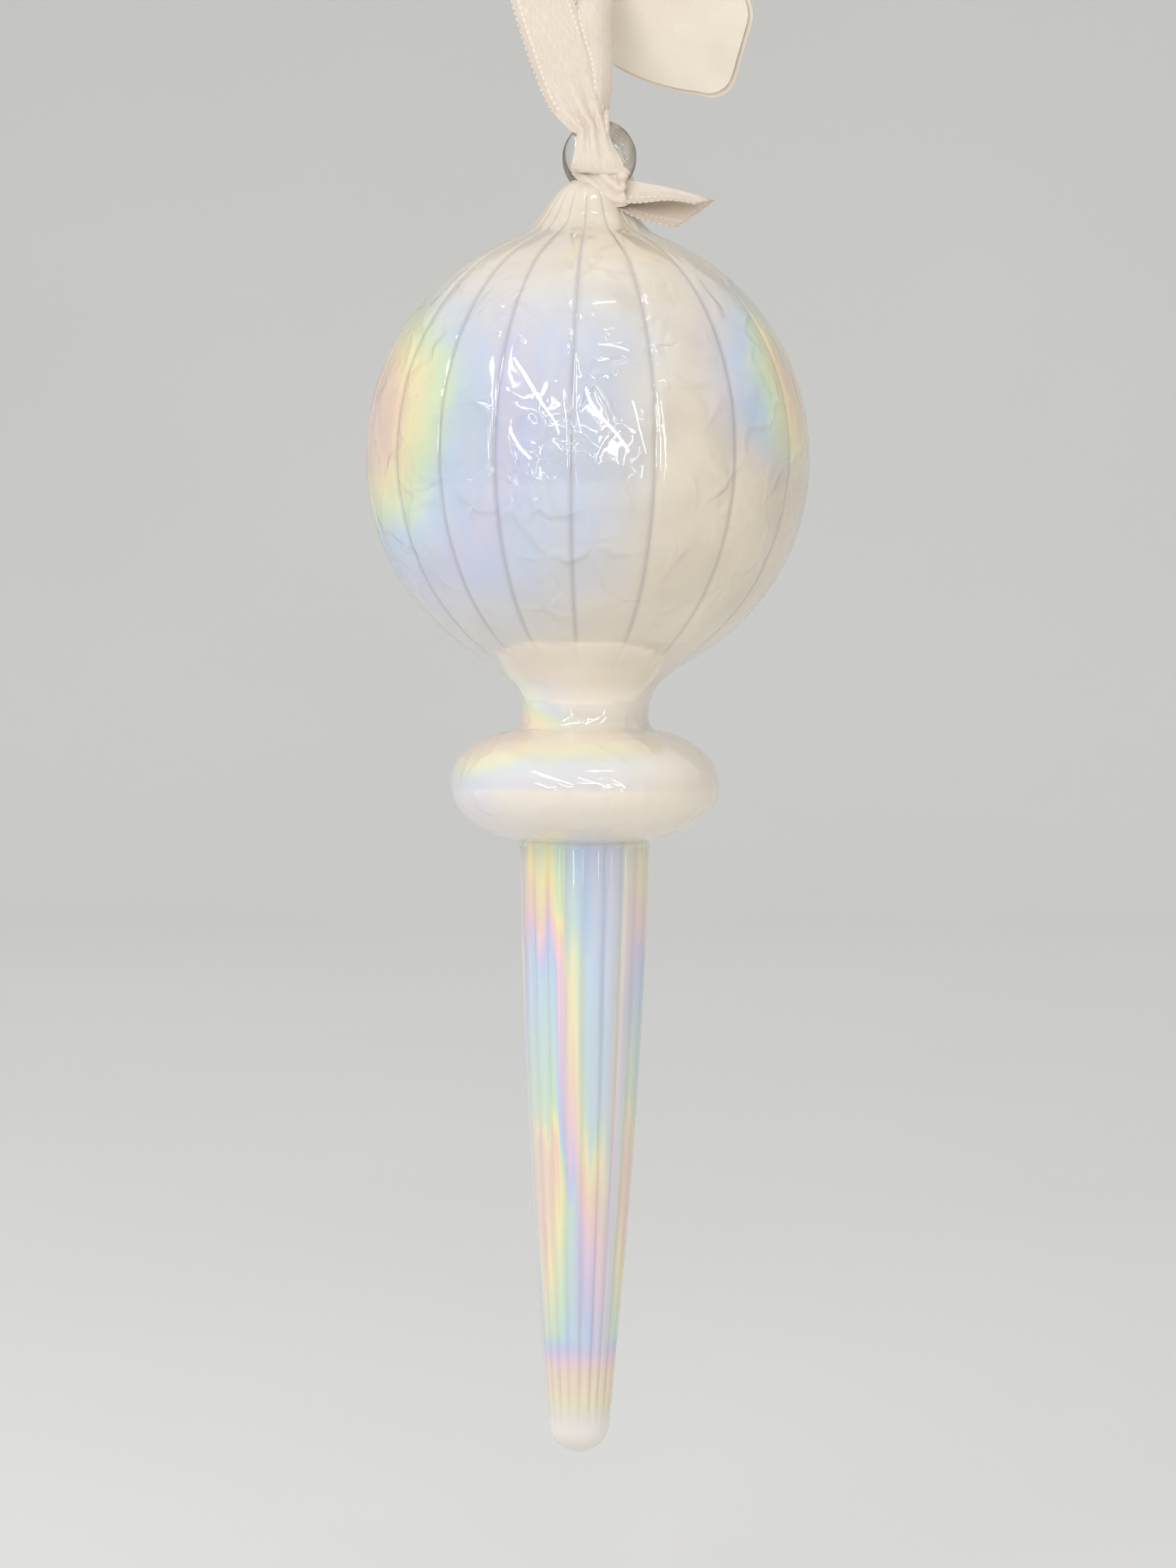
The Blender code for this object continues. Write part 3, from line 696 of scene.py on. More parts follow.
def ball_film(x, y, above, panel):
    """Colour and strength of the lustre on the ball: bands round a warm centre on either side."""
    right, forward = x / BALL_RADIUS, -abs(y) / BALL_RADIUS
    up = (above - BALL_CENTRE) / BALL_RADIUS
    spot = Vector((x, y, above))
    stir = 0.06 * noise.noise(spot / 13) + 0.03 * noise.noise(spot / 5)
    stir += 0.07 * noise.noise(Vector((panel * 3.7, 0.5, above / 45)))
    left = math.sqrt((right + 0.95) ** 2 + (forward + 0.30) ** 2 + (1.15 * (up - 0.17)) ** 2) + stir
    phase = graph(
        left,
        (0, 0.03), (0.25, 0.12), (0.38, 0.25), (0.55, 0.38),
        (0.66, 0.51), (0.9, 0.64), (1.15, 0.57),
    )
    strength = graph(left, (0, 0.6), (0.5, 0.72), (0.7, 0.72), (1.05, 0.74), (1.25, 0.6), (1.5, 0.0))
    far = math.sqrt((right - 0.92) ** 2 + (forward + 0.30) ** 2 + (0.8 * (up - 0.30)) ** 2) + stir
    other = graph(
        far,
        (0, 0.10), (0.12, 0.14), (0.2, 0.25), (0.3, 0.38),
        (0.41, 0.52), (0.55, 0.60), (0.7, 0.66),
    )
    other_strength = graph(
        far,
        (0, 0.5), (0.2, 0.6), (0.42, 0.85),
        (0.56, 0.45), (0.75, 0.0),
    ) * fade(above, -66, -50)
    if other_strength > strength:
        return pastel(other), other_strength
    return pastel(phase), strength


def collar_film(x, y, above):
    """The neck's and the collar's lustre, strongest on the left."""
    side = math.degrees(math.atan2(x, abs(y) + 0.01))
    stir = 0.04 * noise.noise(Vector((x, y, above)) / 6)
    if above > COLLAR_TOP:
        phase = graph(side, (-90, 0.30), (-70, 0.38), (-50, 0.45), (-35, 0.55), (-15, 0.68))
        phase -= 0.24 * fade(above, -100.5, -104.5)
        strength = graph(side, (-90, 0.8), (-32, 0.9), (-10, 0.25), (15, 0.0)) * fade(above, -94.0, -98.0)
        return pastel(phase + stir), strength
    lowered = above - graph(side, (-90, -0.4), (-52, 0.0), (-22, 2.6), (35, 3.2), (90, 3.2))
    if lowered > -112.0:
        phase = graph(lowered, (-112.0, 0.36), (-110.6, 0.25), (-108.8, 0.14), (-105.2, 0.04))
    else:
        phase = graph(
            lowered,
            (-122.0, 0.80), (-117.5, 0.64), (-114.2, 0.54),
            (-112.9, 0.46), (-112.0, 0.36),
        )
    strength = graph(side, (-90, 0.6), (-55, 0.8), (-20, 0.62), (18, 0.5), (34, 0.05), (90, 0.05))
    # At the front the lustre stops at a sharp line across the collar's top: partly the lustre's colour,
    # partly a painted reflection of the neck in the collar
    front = fade(side, -52, -28)
    at_side = graph(above, (-124.5, 0.1), (-118, 0.7), (-113, 1.0))
    lower = at_side * (1 - front) + fade(above, -115.3, -114.5) * front
    return pastel(phase + stir), strength * lower


def collar_reflection_patch(x, above):
    """How far a point is inside the paler patch at the bottom of the ball, a painted reflection of the
    collar in the ball's underside, in millimetres; there is one at the front and one at the back."""
    side = x + 0.8
    top = -89.9 - 2.0 * (side / 14.0) ** 4 + 0.25 * math.sin(side / 2.3)
    half = graph(
        above,
        (-101.0, 7.5), (-99.8, 9.6), (-96.5, 12.6),
        (-93.0, 14.2), (-91.0, 14.0), (-89.9, 12.0),
    )
    bottom = -101.0 + 0.9 * (side / 9.0) ** 2
    return min(top - above, half - abs(side), above - bottom)


def icicle_film(angle, above):
    """Streaks that drift round the icicle as they run down, each flute a little ahead or behind."""
    depth = COLLAR_END - above
    turn = Vector((math.cos(angle), math.sin(angle), 0.0))
    quick = noise.noise(turn * 9.0 + Vector((0, 0, above / 120)))
    fine = noise.noise(turn * 22.0 + Vector((5, 0, above / 160)))
    drifted = depth + 9.0 * quick + 4.0 * fine
    turned = (math.degrees(angle) + 7.0 * fine + 75.0) % 120.0 - 75.0
    for (start, power, phases), (end, next_power, next_phases) in zip(ICICLE_STRIPS, ICICLE_STRIPS[1:]):
        if turned <= end:
            break
    share = fade(turned, start, end)
    phase = graph(drifted, *phases) * (1 - share) + graph(drifted, *next_phases) * share
    strength = (power + (next_power - power) * share) * (1 + 0.45 * quick + 0.3 * fine)
    near_tip = fade(depth, 86, 93)
    phase = phase * (1 - near_tip) + graph(depth, (86, 0.0), (92, 0.12), (100, 0.27)) * near_tip
    strength += (0.6 - strength) * near_tip
    return pastel(phase), strength * fade(depth, 103, 97)


def glass_body(finish):
    """One skin from the cone to the icicle's tip, with the lustre's colours on its points."""
    columns = groove_columns()
    profile = body_profile()
    verts, film, groove, wavy, cool, painted_light = [], [], [], [], [], []
    for radius, above in profile:
        row = columns if radius > 0 else columns[:1]
        on_ball = fade(above, -10.8, -15.0) * fade(above, -96.5, -86.0) * min(1.0, radius / 16)
        on_icicle = fade(above, COLLAR_END, COLLAR_END - 0.4)
        fluted = on_icicle * fade(above, ICICLE_TIP + 3.5, ICICLE_TIP + 12.0)
        for column, (angle, reach, share) in enumerate(row):
            width = 0.30 * min(1.0, radius / 24) + 0.08
            line = math.exp(-((reach * radius / width) ** 2)) * on_ball
            inward = GROOVE_DEPTH * line + PANEL_SINK * (1 - math.sin(math.pi * share)) ** 2 * on_ball
            valley = 0.0
            if fluted:
                valley, depth = flute(angle, above)
                inward += depth * fluted
            around = Vector((math.sin(angle), -math.cos(angle), 0.0))
            x, y = around.x * radius, around.y * radius
            spot = Vector((x, y, above))
            wobble = 0.10 * noise.noise(spot / 7.5) * on_ball + 0.05 * noise.noise(spot / 9)
            outer = max(radius - inward + wobble, 0.0) if radius > 1 else radius
            verts.append(place(around.x * outer, around.y * outer, above))
            turned = (angle + math.pi) % (2 * math.pi) - math.pi
            if above > -95.0:
                colour, strength = ball_film(x, y, above, column // len(COLUMN_SHARES))
                strength *= fade(above, -22.0, -42.0) * (1 - 0.75 * fade(above, -76.0, -90.0))
            elif above > COLLAR_END:
                colour, strength = collar_film(x, y, above)
            else:
                colour, strength = icicle_film(turned, above)
            film.append((*colour, min(1.0, strength)))
            # where painted shade goes: the groove lines and, on the icicle, the flutes' valleys
            groove.append(min(1.0, line + 0.34 * valley * fluted))
            lower = 0.4 * fade(above, -94.0, -98.0) * (1 - on_icicle)
            upper = on_ball * fade(above, -20.0, -34.0) * (1 - 0.55 * fade(above, -70.0, -90.0))
            wavy.append(max(upper, lower))
            # painted reflection of the collar in the ball's underside with a lighter rim line, then
            # painted light on the lower neck, the collar and the icicle's tip
            inside = collar_reflection_patch(x, above)
            edge = math.exp(-(((inside - 0.3) / 0.35) ** 2))
            tip = 0.75 * fade(above, ICICLE_TIP + 10, ICICLE_TIP + 3)
            collar_painted_light = 0.5 * fade(above, -96.0, -100.0) * (1 - on_icicle)
            painted_light.append(min(1.0, max(0.8 * fade(inside, 0.0, 0.4) + 0.3 * edge, collar_painted_light) + tip))
            cool.append(0.65 * fade(above, -44.0, -66.0) * fade(x, 30.0, -22.0) + 0.75 * on_icicle)
    faces = []
    count = len(columns)
    first = 1
    for column in range(count):
        after = (column + 1) % count
        faces.append((0, first + after, first + column))
    rows = len(profile) - 2
    for row in range(rows - 1):
        low, high = first + row * count, first + (row + 1) * count
        for column in range(count):
            after = (column + 1) % count
            faces.append((low + column, low + after, high + after, high + column))
    last = first + (rows - 1) * count
    for column in range(count):
        faces.append((last + column, last + (column + 1) % count, last + count))
    obj = add_mesh("pearl_glass_body", verts, faces, finish)
    bm = bmesh.new()
    bm.from_mesh(obj.data)
    bmesh.ops.recalc_face_normals(bm, faces=bm.faces)
    bm.to_mesh(obj.data)
    bm.free()
    tints = obj.data.attributes.new("film", "FLOAT_COLOR", "POINT")
    tints.data.foreach_set("color", [value for colour in film for value in colour])
    for name, values in (("groove", groove), ("wavy", wavy), ("cool", cool), ("painted_light", painted_light)):
        obj.data.attributes.new(name, "FLOAT", "POINT").data.foreach_set("value", values)
    return obj


def clear_ring(finish):
    """The bent clear rod and the foot where it melted on to the cone, fused into one skin."""
    bm = bmesh.new()
    centre = place(RING_X, 0.0, -RING_OUTSIDE)
    around, tube = 72, 24
    rows = []
    for step in range(around):
        turn = 2 * math.pi * step / around
        outward = Vector((math.sin(turn), 0.0, math.cos(turn)))
        thick = RING_ROD * (1 + 0.035 * math.sin(2 * turn + 0.6) + 0.02 * math.sin(5 * turn))
        row = []
        for part in range(tube):
            lean = 2 * math.pi * part / tube
            offset = outward * math.cos(lean) + Vector((0.0, 1.0, 0.0)) * math.sin(lean)
            row.append(bm.verts.new(centre + (outward * (RING_OUTSIDE - RING_ROD) + offset * thick) * MM))
        rows.append(row)
    for row, after in zip(rows, rows[1:] + rows[:1]):
        for part in range(tube):
            follow = (part + 1) % tube
            bm.faces.new((row[part], row[follow], after[follow], after[part]))
    line = [bm.verts.new(place(RING_X * 0.7 + r, 0.0, h)) for r, h in RING_FOOT]
    edges = [bm.edges.new(pair) for pair in zip(line, line[1:])]
    bmesh.ops.spin(
        bm,
        geom=line + edges,
        cent=place(RING_X * 0.7, 0.0, 0.0),
        axis=(0, 0, 1),
        angle=2 * math.pi,
        steps=24,
        use_merge=True,
    )
    bmesh.ops.holes_fill(bm, edges=bm.edges)
    bmesh.ops.recalc_face_normals(bm, faces=bm.faces)
    obj = from_bmesh("clear_ring", bm)
    remesh = obj.modifiers.new("fuse", "REMESH")
    remesh.mode = "VOXEL"
    remesh.voxel_size = 0.22 * MM
    relax = obj.modifiers.new("relax", "SMOOTH")
    relax.iterations = 6
    apply_modifiers(obj)
    obj.data.materials.append(finish)
    obj.data.shade_smooth()
    return obj


# ---------------------------------------------------------------- ribbon


def ribbon_rows(stations, across, pleats=3.0):
    """The points of a ribbon, row by row, through stations of (point, direction of the width,
    curl in radians, width, pleat depth). Its outer side is tangent x width, and the edges of a
    curled stretch bend away from it."""
    rows = []
    last = len(stations) - 1
    for index, (point, direction, curl, width, pleat) in enumerate(stations):
        before, after = stations[max(index - 1, 0)][0], stations[min(index + 1, last)][0]
        tangent = (after - before).normalized()
        wide = (direction - direction.dot(tangent) * tangent).normalized()
        outward = tangent.cross(wide)
        row = []
        for step in range(across + 1):
            share = step / across - 0.5
            sideways, back = width * share, 0.0
            if curl > 0.02:
                sideways = width / curl * math.sin(share * curl)
                back = width / curl * (math.cos(share * curl) - 1)
            lift = back + pleat * math.cos(2 * math.pi * pleats * share) - pleat
            row.append(point + (wide * sideways + outward * lift) * MM)
        rows.append(row)
    return rows


def ribbon_mesh(name, rows, finish, closed=False, selvage=1.0):
    """A sheet through the rows, with a UV map in millimetres across and along the flat ribbon.
    Below 1, selvage leaves the ribbon's edges out of the map, as they are tucked in."""
    across = len(rows[0]) - 1
    verts = [point for row in rows for point in row]
    spans = len(rows) if closed else len(rows) - 1
    faces = []
    for row in range(spans):
        low, high = row * (across + 1), ((row + 1) % len(rows)) * (across + 1)
        faces += [(low + s, low + s + 1, high + s + 1, high + s) for s in range(across)]
    obj = add_mesh(name, verts, faces, finish)
    along = [0.0]
    for row, after in zip(rows, rows[1:] + rows[:1]):
        along.append(along[-1] + (after[across // 2] - row[across // 2]).length / MM)
    layer = obj.data.uv_layers.new(name="ribbon")
    for face in obj.data.polygons:
        row = face.index // across
        step = face.index % across
        corners = ((step, row), (step + 1, row), (step + 1, row + 1), (step, row + 1))
        for loop, (s, r) in zip(face.loop_indices, corners):
            layer.data[loop].uv = (RIBBON_WIDTH * (0.5 + selvage * (s / across - 0.5)), along[r])
    wall = obj.modifiers.new("satin", "SOLIDIFY")
    wall.thickness = SATIN_THICK * MM
    wall.offset = 0.0
    apply_modifiers(obj)
    obj.data.set_sharp_from_angle(angle=math.radians(60))
    return obj


def run_length(rows):
    middle = len(rows[0]) // 2
    return sum((b[middle] - a[middle]).length for a, b in zip(rows, rows[1:]))


def thread(bm, points, normal, radius, sides=5):
    """A closed little tube of yarn along points that lie about square to normal."""
    rings = []
    for index, point in enumerate(points):
        before, after = points[max(index - 1, 0)], points[min(index + 1, len(points) - 1)]
        side = (after - before).normalized().cross(normal).normalized()
        turns = [2 * math.pi * s / sides for s in range(sides)]
        spokes = [normal * math.cos(turn) + side * math.sin(turn) for turn in turns]
        rings.append([bm.verts.new(point + spoke * radius) for spoke in spokes])
    for ring, after in zip(rings, rings[1:]):
        for s in range(sides):
            bm.faces.new((ring[s], ring[(s + 1) % sides], after[(s + 1) % sides], after[s]))
    bm.faces.new(rings[0])
    bm.faces.new(rings[-1])


def walk(points, pitch):
    """Every pitch metres along a line: (index of the point before, share to the next)."""
    left = pitch / 2
    for index, (a, b) in enumerate(zip(points, points[1:])):
        length = (b - a).length
        while left < length:
            yield index, left / length
            left += pitch
        left -= length


def picots(name, rows, finish, fray=False, size=1.0):
    """The loops of yarn along both edges of a run, and the loose ends of a cut one."""
    bm = bmesh.new()
    for edge, inner in ((0, 2), (-1, -3)):
        line = [row[edge] for row in rows]
        inside = [row[inner] for row in rows]
        for index, share in walk(line, PICOT_PITCH * MM):
            point = line[index].lerp(line[index + 1], share)
            outward = (point - inside[index].lerp(inside[index + 1], share)).normalized()
            tangent = (line[index + 1] - line[index]).normalized()
            normal = tangent.cross(outward).normalized()
            loop = []
            for step in range(7):
                turn = math.pi * step / 6
                reach = -0.30 + 0.55 * math.sin(turn) ** 0.7
                loop.append(point + (outward * reach - tangent * 0.30 * math.cos(turn)) * size * MM)
            thread(bm, loop, normal, 0.15 * size * MM)
    if fray:
        end, before = rows[-1], rows[-2]
        for step in range(1, 3 * len(end) - 3):
            share = step / 3
            index = int(share)
            point = end[index].lerp(end[index + 1], share - index)
            forward = (end[index] - before[index]).normalized()
            normal = (end[index + 1] - end[index]).cross(forward).normalized()
            stray = noise.noise(Vector((step * 0.73, 0.0, 0.0)))
            reach = 0.35 + 0.5 * abs(stray)
            tip = point + (forward + normal * 0.5 * stray) * reach * MM
            thread(bm, [point - forward * 0.2 * MM, point.lerp(tip, 0.5), tip], normal, 0.045 * MM, 3)
    bmesh.ops.recalc_face_normals(bm, faces=bm.faces)
    obj = from_bmesh(name, bm)
    obj.data.materials.append(finish)
    obj.data.shade_smooth()
    return obj


def route_rows(route, steps, across):
    """Ribbon rows through a route of (point, direction, curl in degrees, width, pleat depth)."""
    stations = []
    flat = [[*point, *direction, *rest] for point, direction, *rest in route]
    for x, y, above, turn, rise, curl, width, pleat in smooth_rows(flat, steps):
        turn, curl = math.radians(turn), math.radians(curl)
        direction = Vector((math.cos(turn), math.sin(turn), rise))
        stations.append((place(x, y, above), direction, curl, width, max(pleat, 0.0)))
    return ribbon_rows(stations, across)


def tail_rows(steps, across):
    """The tail's rows, from its near edge up over the fold and down to its far edge. Both layers
    belly out a little towards the front."""
    rows = []
    for values in smooth_rows([[*near, *fold, *far] for near, fold, far in SIDE_TAIL], steps):
        near, fold, far = (place(*values[index : index + 3]) for index in (0, 3, 6))
        row = []
        for step in range(across + 1):
            share = step / across
            if share < FOLD_SHARE:
                part = share / FOLD_SHARE
                point = near.lerp(fold, part)
                belly = Vector((0.0, 0.9 * math.sin(math.pi * part) * MM, 0.0))
            else:
                part = (share - FOLD_SHARE) / (1 - FOLD_SHARE)
                point = fold.lerp(far, part)
                belly = Vector((0.0, 2.0 * math.sin(math.pi * part**0.8) * MM, 0.0))
            round_off = math.exp(-(((share - FOLD_SHARE) / 0.05) ** 2))
            row.append(point + belly - Vector((0.0, 0.0, 0.28 * MM * round_off)))
        rows.append(row)
    return rows


def wrap_rows():
    """The bunched turn that goes through the ring and round its rod."""
    stations = []
    steps = 40
    for step in range(steps):
        turn = 2 * math.pi * step / steps
        radius = WRAP_RADIUS * (1 + 0.05 * math.sin(3 * turn))
        x, up = RING_X - 0.9 - 0.9 * math.cos(turn), ROD_HEIGHT + radius * math.cos(turn)
        width, pleats = WRAP_WIDTH + 1.8 * math.cos(turn), WRAP_PLEATS * (1 - 0.15 * math.cos(turn))
        point = place(x, radius * math.sin(turn), up)
        stations.append((point, Vector((1.0, 0.0, 0.0)), 0.0, width, pleats))
    return stations


# ---------------------------------------------------------------- tag


def rounded(corners, radius, steps=6):
    """The outline with each corner turned into an arc of this radius."""
    made = []
    count = len(corners)
    for index in range(count):
        corner = Vector(corners[index])
        to_before = (Vector(corners[index - 1]) - corner).normalized()
        to_after = (Vector(corners[(index + 1) % count]) - corner).normalized()
        half = to_before.angle(to_after) / 2
        start = corner + to_before * radius / math.tan(half)
        end = corner + to_after * radius / math.tan(half)
        centre = corner + (to_before + to_after).normalized() * radius / math.sin(half)
        sweep = (start - centre).angle_signed(end - centre)
        for step in range(steps + 1):
            made.append(tuple(centre + Matrix.Rotation(-sweep * step / steps, 2) @ (start - centre)))
    return made


def leaf_outline(shorter):
    """Round one leaf from the hole's centre, its long edges bulged."""
    left, right = -TAG_MARGIN, TAG_WIDTH - TAG_MARGIN - shorter
    top, bottom = TAG_MARGIN, TAG_MARGIN - TAG_HEIGHT + shorter
    corners = rounded([(left, top), (right, top), (right, bottom), (left, bottom)], TAG_CORNER)
    quarter = len(corners) // 4
    outline = []
    for index, corner in enumerate(corners):
        outline.append(corner)
        if index in (quarter - 1, 3 * quarter - 1):
            end = corners[(index + 1) % len(corners)]
            bulge = TAG_ARCH if corner[1] > 0 else -TAG_ARCH
            for step in range(1, 14):
                share = step / 14
                x, z = mix(corner, end, share)
                outline.append((x, z + bulge * 4 * share * (1 - share)))
    return outline


def card_tag(finish):
    """A card folded along its left edge, both leaves punched, threaded on the back strand."""
    meshes = []
    for side, shorter in ((-1, TAG_STEP), (1, 0.0)):
        curve = bpy.data.curves.new("leaf", "CURVE")
        curve.dimensions = "2D"
        curve.fill_mode = "BOTH"
        curve.extrude = (TAG_LEAF / 2 - TAG_BEVEL) * MM
        curve.bevel_depth = TAG_BEVEL * MM
        curve.bevel_resolution = 2
        turns = [2 * math.pi * s / 48 for s in range(48)]
        hole = [(TAG_HOLE * math.cos(turn), TAG_HOLE * math.sin(turn)) for turn in turns]
        for outline in (leaf_outline(shorter), hole):
            spline = curve.splines.new("POLY")
            spline.points.add(len(outline) - 1)
            for point, (x, z) in zip(spline.points, outline):
                point.co = (x * MM, z * MM, 0.0, 1.0)
            spline.use_cyclic_u = True
        flat = linked("leaf", curve)
        bpy.context.view_layer.update()
        evaluated = flat.evaluated_get(bpy.context.evaluated_depsgraph_get())
        mesh = bpy.data.meshes.new_from_object(evaluated)
        bpy.data.objects.remove(flat, do_unlink=True)
        beside = Matrix.Translation((0, side * TAG_SPREAD * MM, 0))
        mesh.transform(beside @ Matrix.Rotation(math.pi / 2, 4, "X"))
        meshes.append(mesh)
    bm = bmesh.new()
    for mesh in meshes:
        bm.from_mesh(mesh)
    bmesh.ops.remove_doubles(bm, verts=bm.verts, dist=0.002 * MM)
    top, bottom = TAG_MARGIN - TAG_CORNER, TAG_MARGIN - TAG_HEIGHT + TAG_STEP + TAG_CORNER
    for radius in (TAG_SPREAD + TAG_LEAF / 2, TAG_SPREAD - TAG_LEAF / 2):
        fold = []
        for z in (top, bottom):
            fold.append(
                [
                    bm.verts.new(
                        Vector((-TAG_MARGIN - radius * math.sin(turn), -radius * math.cos(turn), z)) * MM
                    )
                    for turn in (math.pi * s / 8 for s in range(9))
                ]
            )
        for s in range(8):
            bm.faces.new((fold[0][s], fold[0][s + 1], fold[1][s + 1], fold[1][s]))
    bmesh.ops.recalc_face_normals(bm, faces=bm.faces)
    for vert in bm.verts:
        vert.co.y -= TAG_BOW * MM * fade(vert.co.x / MM, 4.0, 30.0)
    obj = from_bmesh("card_tag", bm)
    made = obj.data
    edge = made.attributes.new("edge", "FLOAT", "POINT")
    half = (TAG_SPREAD + TAG_LEAF / 2 - TAG_BEVEL) * MM
    values = [0.0] * len(made.vertices)
    for vert in made.vertices:
        if abs(vert.normal.y) < 0.8 and abs(vert.co.y) < half:
            values[vert.index] = 1.0
    edge.data.foreach_set("value", values)
    made.materials.append(finish)
    hung = Matrix.Translation(place(*TAG_PIVOT))
    for degrees, axis in ((TAG_TURN, "Y"), (TAG_YAW, "Z"), (TAG_LEAN, "X")):
        hung = hung @ Matrix.Rotation(math.radians(degrees), 4, axis)
    made.transform(hung)
    return obj


# ---------------------------------------------------------------- studio


def lamp(name, size, power, colour):
    """An area light, linked and still to be placed."""
    data = bpy.data.lights.new(name, "AREA")
    data.shape = "RECTANGLE"
    data.size, data.size_y = size
    data.energy = power
    data.color = colour
    return linked(name, data)


def studio():
    floor_z = ICICLE_LOW.z - FLOOR_DROP
    bend, back, half_width, top = 1.0, 2.6, 3.4, 2.4
    line = [(-2.8, floor_z), (back - bend, floor_z)]
    for step in range(1, 13):
        turn = math.pi / 2 * step / 12
        line.append((back - bend + bend * math.sin(turn), floor_z + bend * (1 - math.cos(turn))))
    line.append((back, floor_z + top))
    verts = [Vector((x, y, z)) for y, z in line for x in (-half_width, half_width)]
    faces = [(2 * i, 2 * i + 1, 2 * i + 3, 2 * i + 2) for i in range(len(line) - 1)]
    paper = studio_material("studio_paper", srgb(220, 219, 215))
    add_mesh("studio_sweep", verts, faces, paper)
    world = bpy.data.worlds.new("studio")
    bpy.context.scene.world = world
    world.use_nodes = True
    tree = world.node_tree
    background = tree.nodes["Background"]
    background.inputs["Strength"].default_value = 1.0
    direction = tree.nodes.new("ShaderNodeSeparateXYZ")
    tree.links.new(tree.nodes.new("ShaderNodeTexCoord").outputs["Generated"], direction.inputs[0])
    ramp = tree.nodes.new("ShaderNodeValToRGB")
    tree.links.new(direction.outputs["Z"], ramp.inputs[0])
    tree.links.new(ramp.outputs[0], background.inputs["Color"])
    low, high = ramp.color_ramp.elements
    low.position, low.color = 0.0, (0.40, 0.40, 0.40, 1.0)
    high.position, high.color = 0.75, (0.76, 0.77, 0.80, 1.0)
    middle = place(0.0, 0.0, VIEW_CENTRE_HEIGHT)
    for name, offset, size, power, colour in LAMPS:
        obj = lamp(name, size, power, colour)
        obj.location = middle + Vector(offset)
        obj.rotation_euler = (-Vector(offset)).to_track_quat("-Z", "Y").to_euler()
        obj.visible_glossy = name == "overhead"  # the wide ones would whiten the whole glass
    backdrop = lamp("backdrop", (2.0, 1.0), 5.0, (1.0, 1.0, 1.0))
    backdrop.location = middle + Vector((0.0, 1.2, 1.5))
    backdrop.rotation_euler = Vector((0.0, -1.0, 1.1)).to_track_quat("Z", "Y").to_euler()
    backdrop.visible_glossy = False
    ball = place(0.0, 0.0, BALL_CENTRE)
    for index, (start, end, power) in enumerate(STRIPS):
        start, end = Vector(start), Vector(end)
        obj = lamp(f"strip_{index}", (STRIP_WIDTH, (end - start).length), power, (1.0, 0.98, 0.94))
        away = (start + end).normalized()
        along = (end - start).normalized()
        across = along.cross(away).normalized()
        turned = Matrix((across, along, across.cross(along))).transposed()
        obj.matrix_world = Matrix.Translation(ball + (start + end) / 2) @ turned.to_4x4()


def camera():
    data = bpy.data.cameras.new("camera")
    data.sensor_fit = "AUTO"
    data.sensor_width = SENSOR
    data.lens = SENSOR * VIEW_DISTANCE / VIEW_HEIGHT
    data.clip_start = 0.01
    obj = linked("camera", data)
    lift = math.radians(VIEW_ELEVATION)
    back = Vector((0.0, -math.cos(lift), math.sin(lift)))
    obj.location = place(VIEW_CENTRE_SIDE, 0.0, VIEW_CENTRE_HEIGHT) + back * VIEW_DISTANCE
    roll = Quaternion((0.0, 0.0, 1.0), math.radians(VIEW_ROLL))
    obj.rotation_euler = (back.to_track_quat("Z", "Y") @ roll).to_euler()
    bpy.context.scene.camera = obj


# ---------------------------------------------------------------- the object


camera()
studio()
bpy.context.scene.view_settings.view_transform = "Standard"

satin, yarn = satin_material(), thread_material()

body = glass_body(pearl_material())
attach(body, "ornament")
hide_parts("glass_ball", "glass_collar", "glass_icicle")

ring = clear_ring(clear_material())
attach(ring, "ornament")
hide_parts("glass_ring")

twist_start, twist_end = place(0, 0, TWIST_ZONE[0]), place(0, 0, TWIST_ZONE[1])
swing_start, swing_end = place(0, 0, SWING_ZONE[0]), place(0, 0, SWING_ZONE[1])

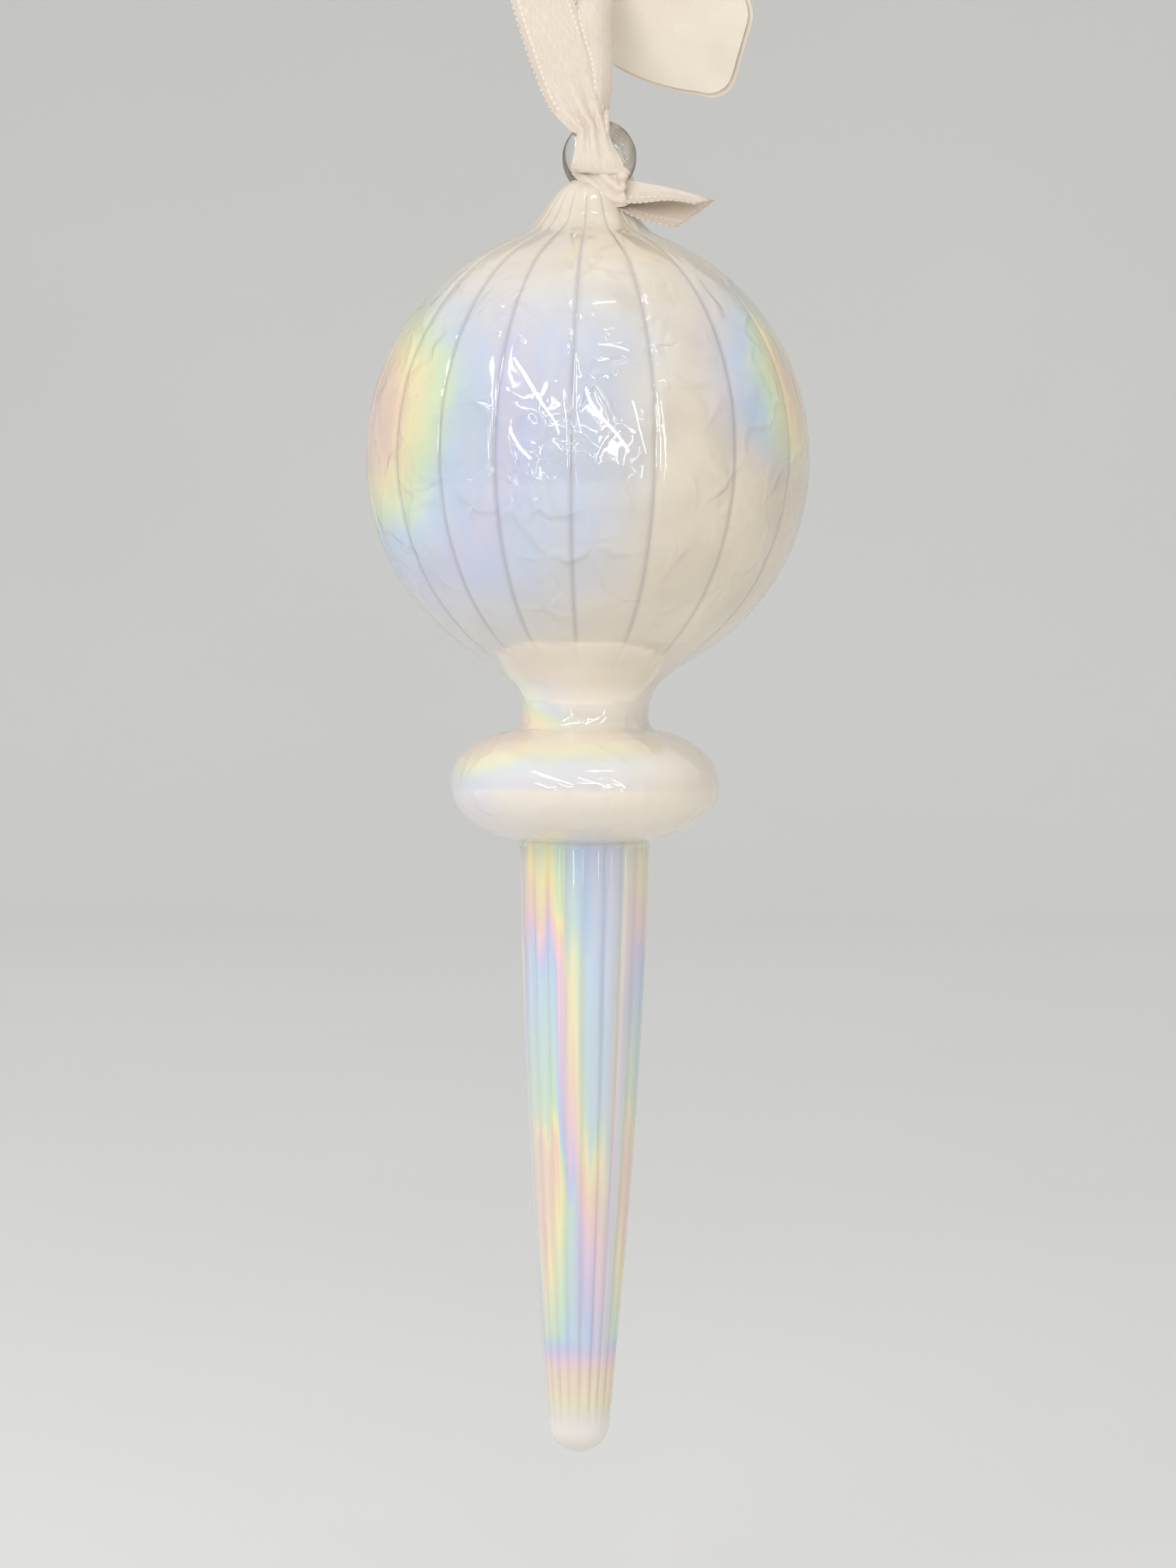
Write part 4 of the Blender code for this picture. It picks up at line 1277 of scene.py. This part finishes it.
STEPS, ACROSS = 6, 36
rows = route_rows(FRONT_TURN + LOOP_ROUTE + BACK_RUN, STEPS, ACROSS)
loop_start = STEPS * len(FRONT_TURN)
loop_stop = loop_start + STEPS * (len(LOOP_ROUTE) - 1)

front_rows = rows[: loop_start + 1]
front = ribbon_mesh("ribbon_front_turn", front_rows, satin, selvage=0.7)
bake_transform(front)
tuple(swing_start)
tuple(swing_end)
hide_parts("ribbon_neck", "ribbon_knot_band")
run_length(front_rows)

loop_part = rows[loop_start : loop_stop + 1]
loop = ribbon_mesh("ribbon_loop_satin", loop_part, satin)
loop_picots = picots("ribbon_loop_picots", loop_part, yarn)
for piece in (loop, loop_picots):
    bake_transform(piece)
    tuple(twist_start)
    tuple(twist_end)
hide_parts("ribbon_loop")
run_length(loop_part)

back_rows = rows[loop_stop:]
back = ribbon_mesh("ribbon_back_run", back_rows, satin)
back_picots = picots("ribbon_back_picots", back_rows, yarn, fray=True)
for piece in (back, back_picots):
    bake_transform(piece)
    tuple(swing_start)
    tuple(swing_end)
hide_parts("ribbon_tail_back")
run_length(back_rows)

stations = wrap_rows()
closed = ribbon_rows([stations[-1], *stations, stations[0]], 40, pleats=3.5)[1:-1]
wrap = ribbon_mesh("ribbon_ring_turn", closed, satin, closed=True)
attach(wrap, "ornament")
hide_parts("ribbon_ring_wrap")
run_length(closed)

cross_rows = route_rows(SIDE_RUN, STEPS, ACROSS)
cross = ribbon_mesh("ribbon_under_layer", cross_rows, satin, selvage=0.7)
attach(cross, "ornament")
run_length(cross_rows)

leg_rows = route_rows(RIGHT_LEG, STEPS, ACROSS)
leg = ribbon_mesh("ribbon_right_leg", leg_rows, satin, selvage=0.7)
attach(leg, "ornament")
run_length(leg_rows)

side_rows = tail_rows(STEPS, ACROSS)
side = ribbon_mesh("ribbon_side_tail", side_rows, satin)
side_picots = picots("ribbon_side_picots", side_rows, yarn, fray=True, size=0.8)
for piece in (side, side_picots):
    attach(piece, "ornament")
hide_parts("ribbon_tail_right")
run_length(side_rows)

tag = card_tag(card_material())
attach(tag, "tag")
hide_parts("hang_tag")
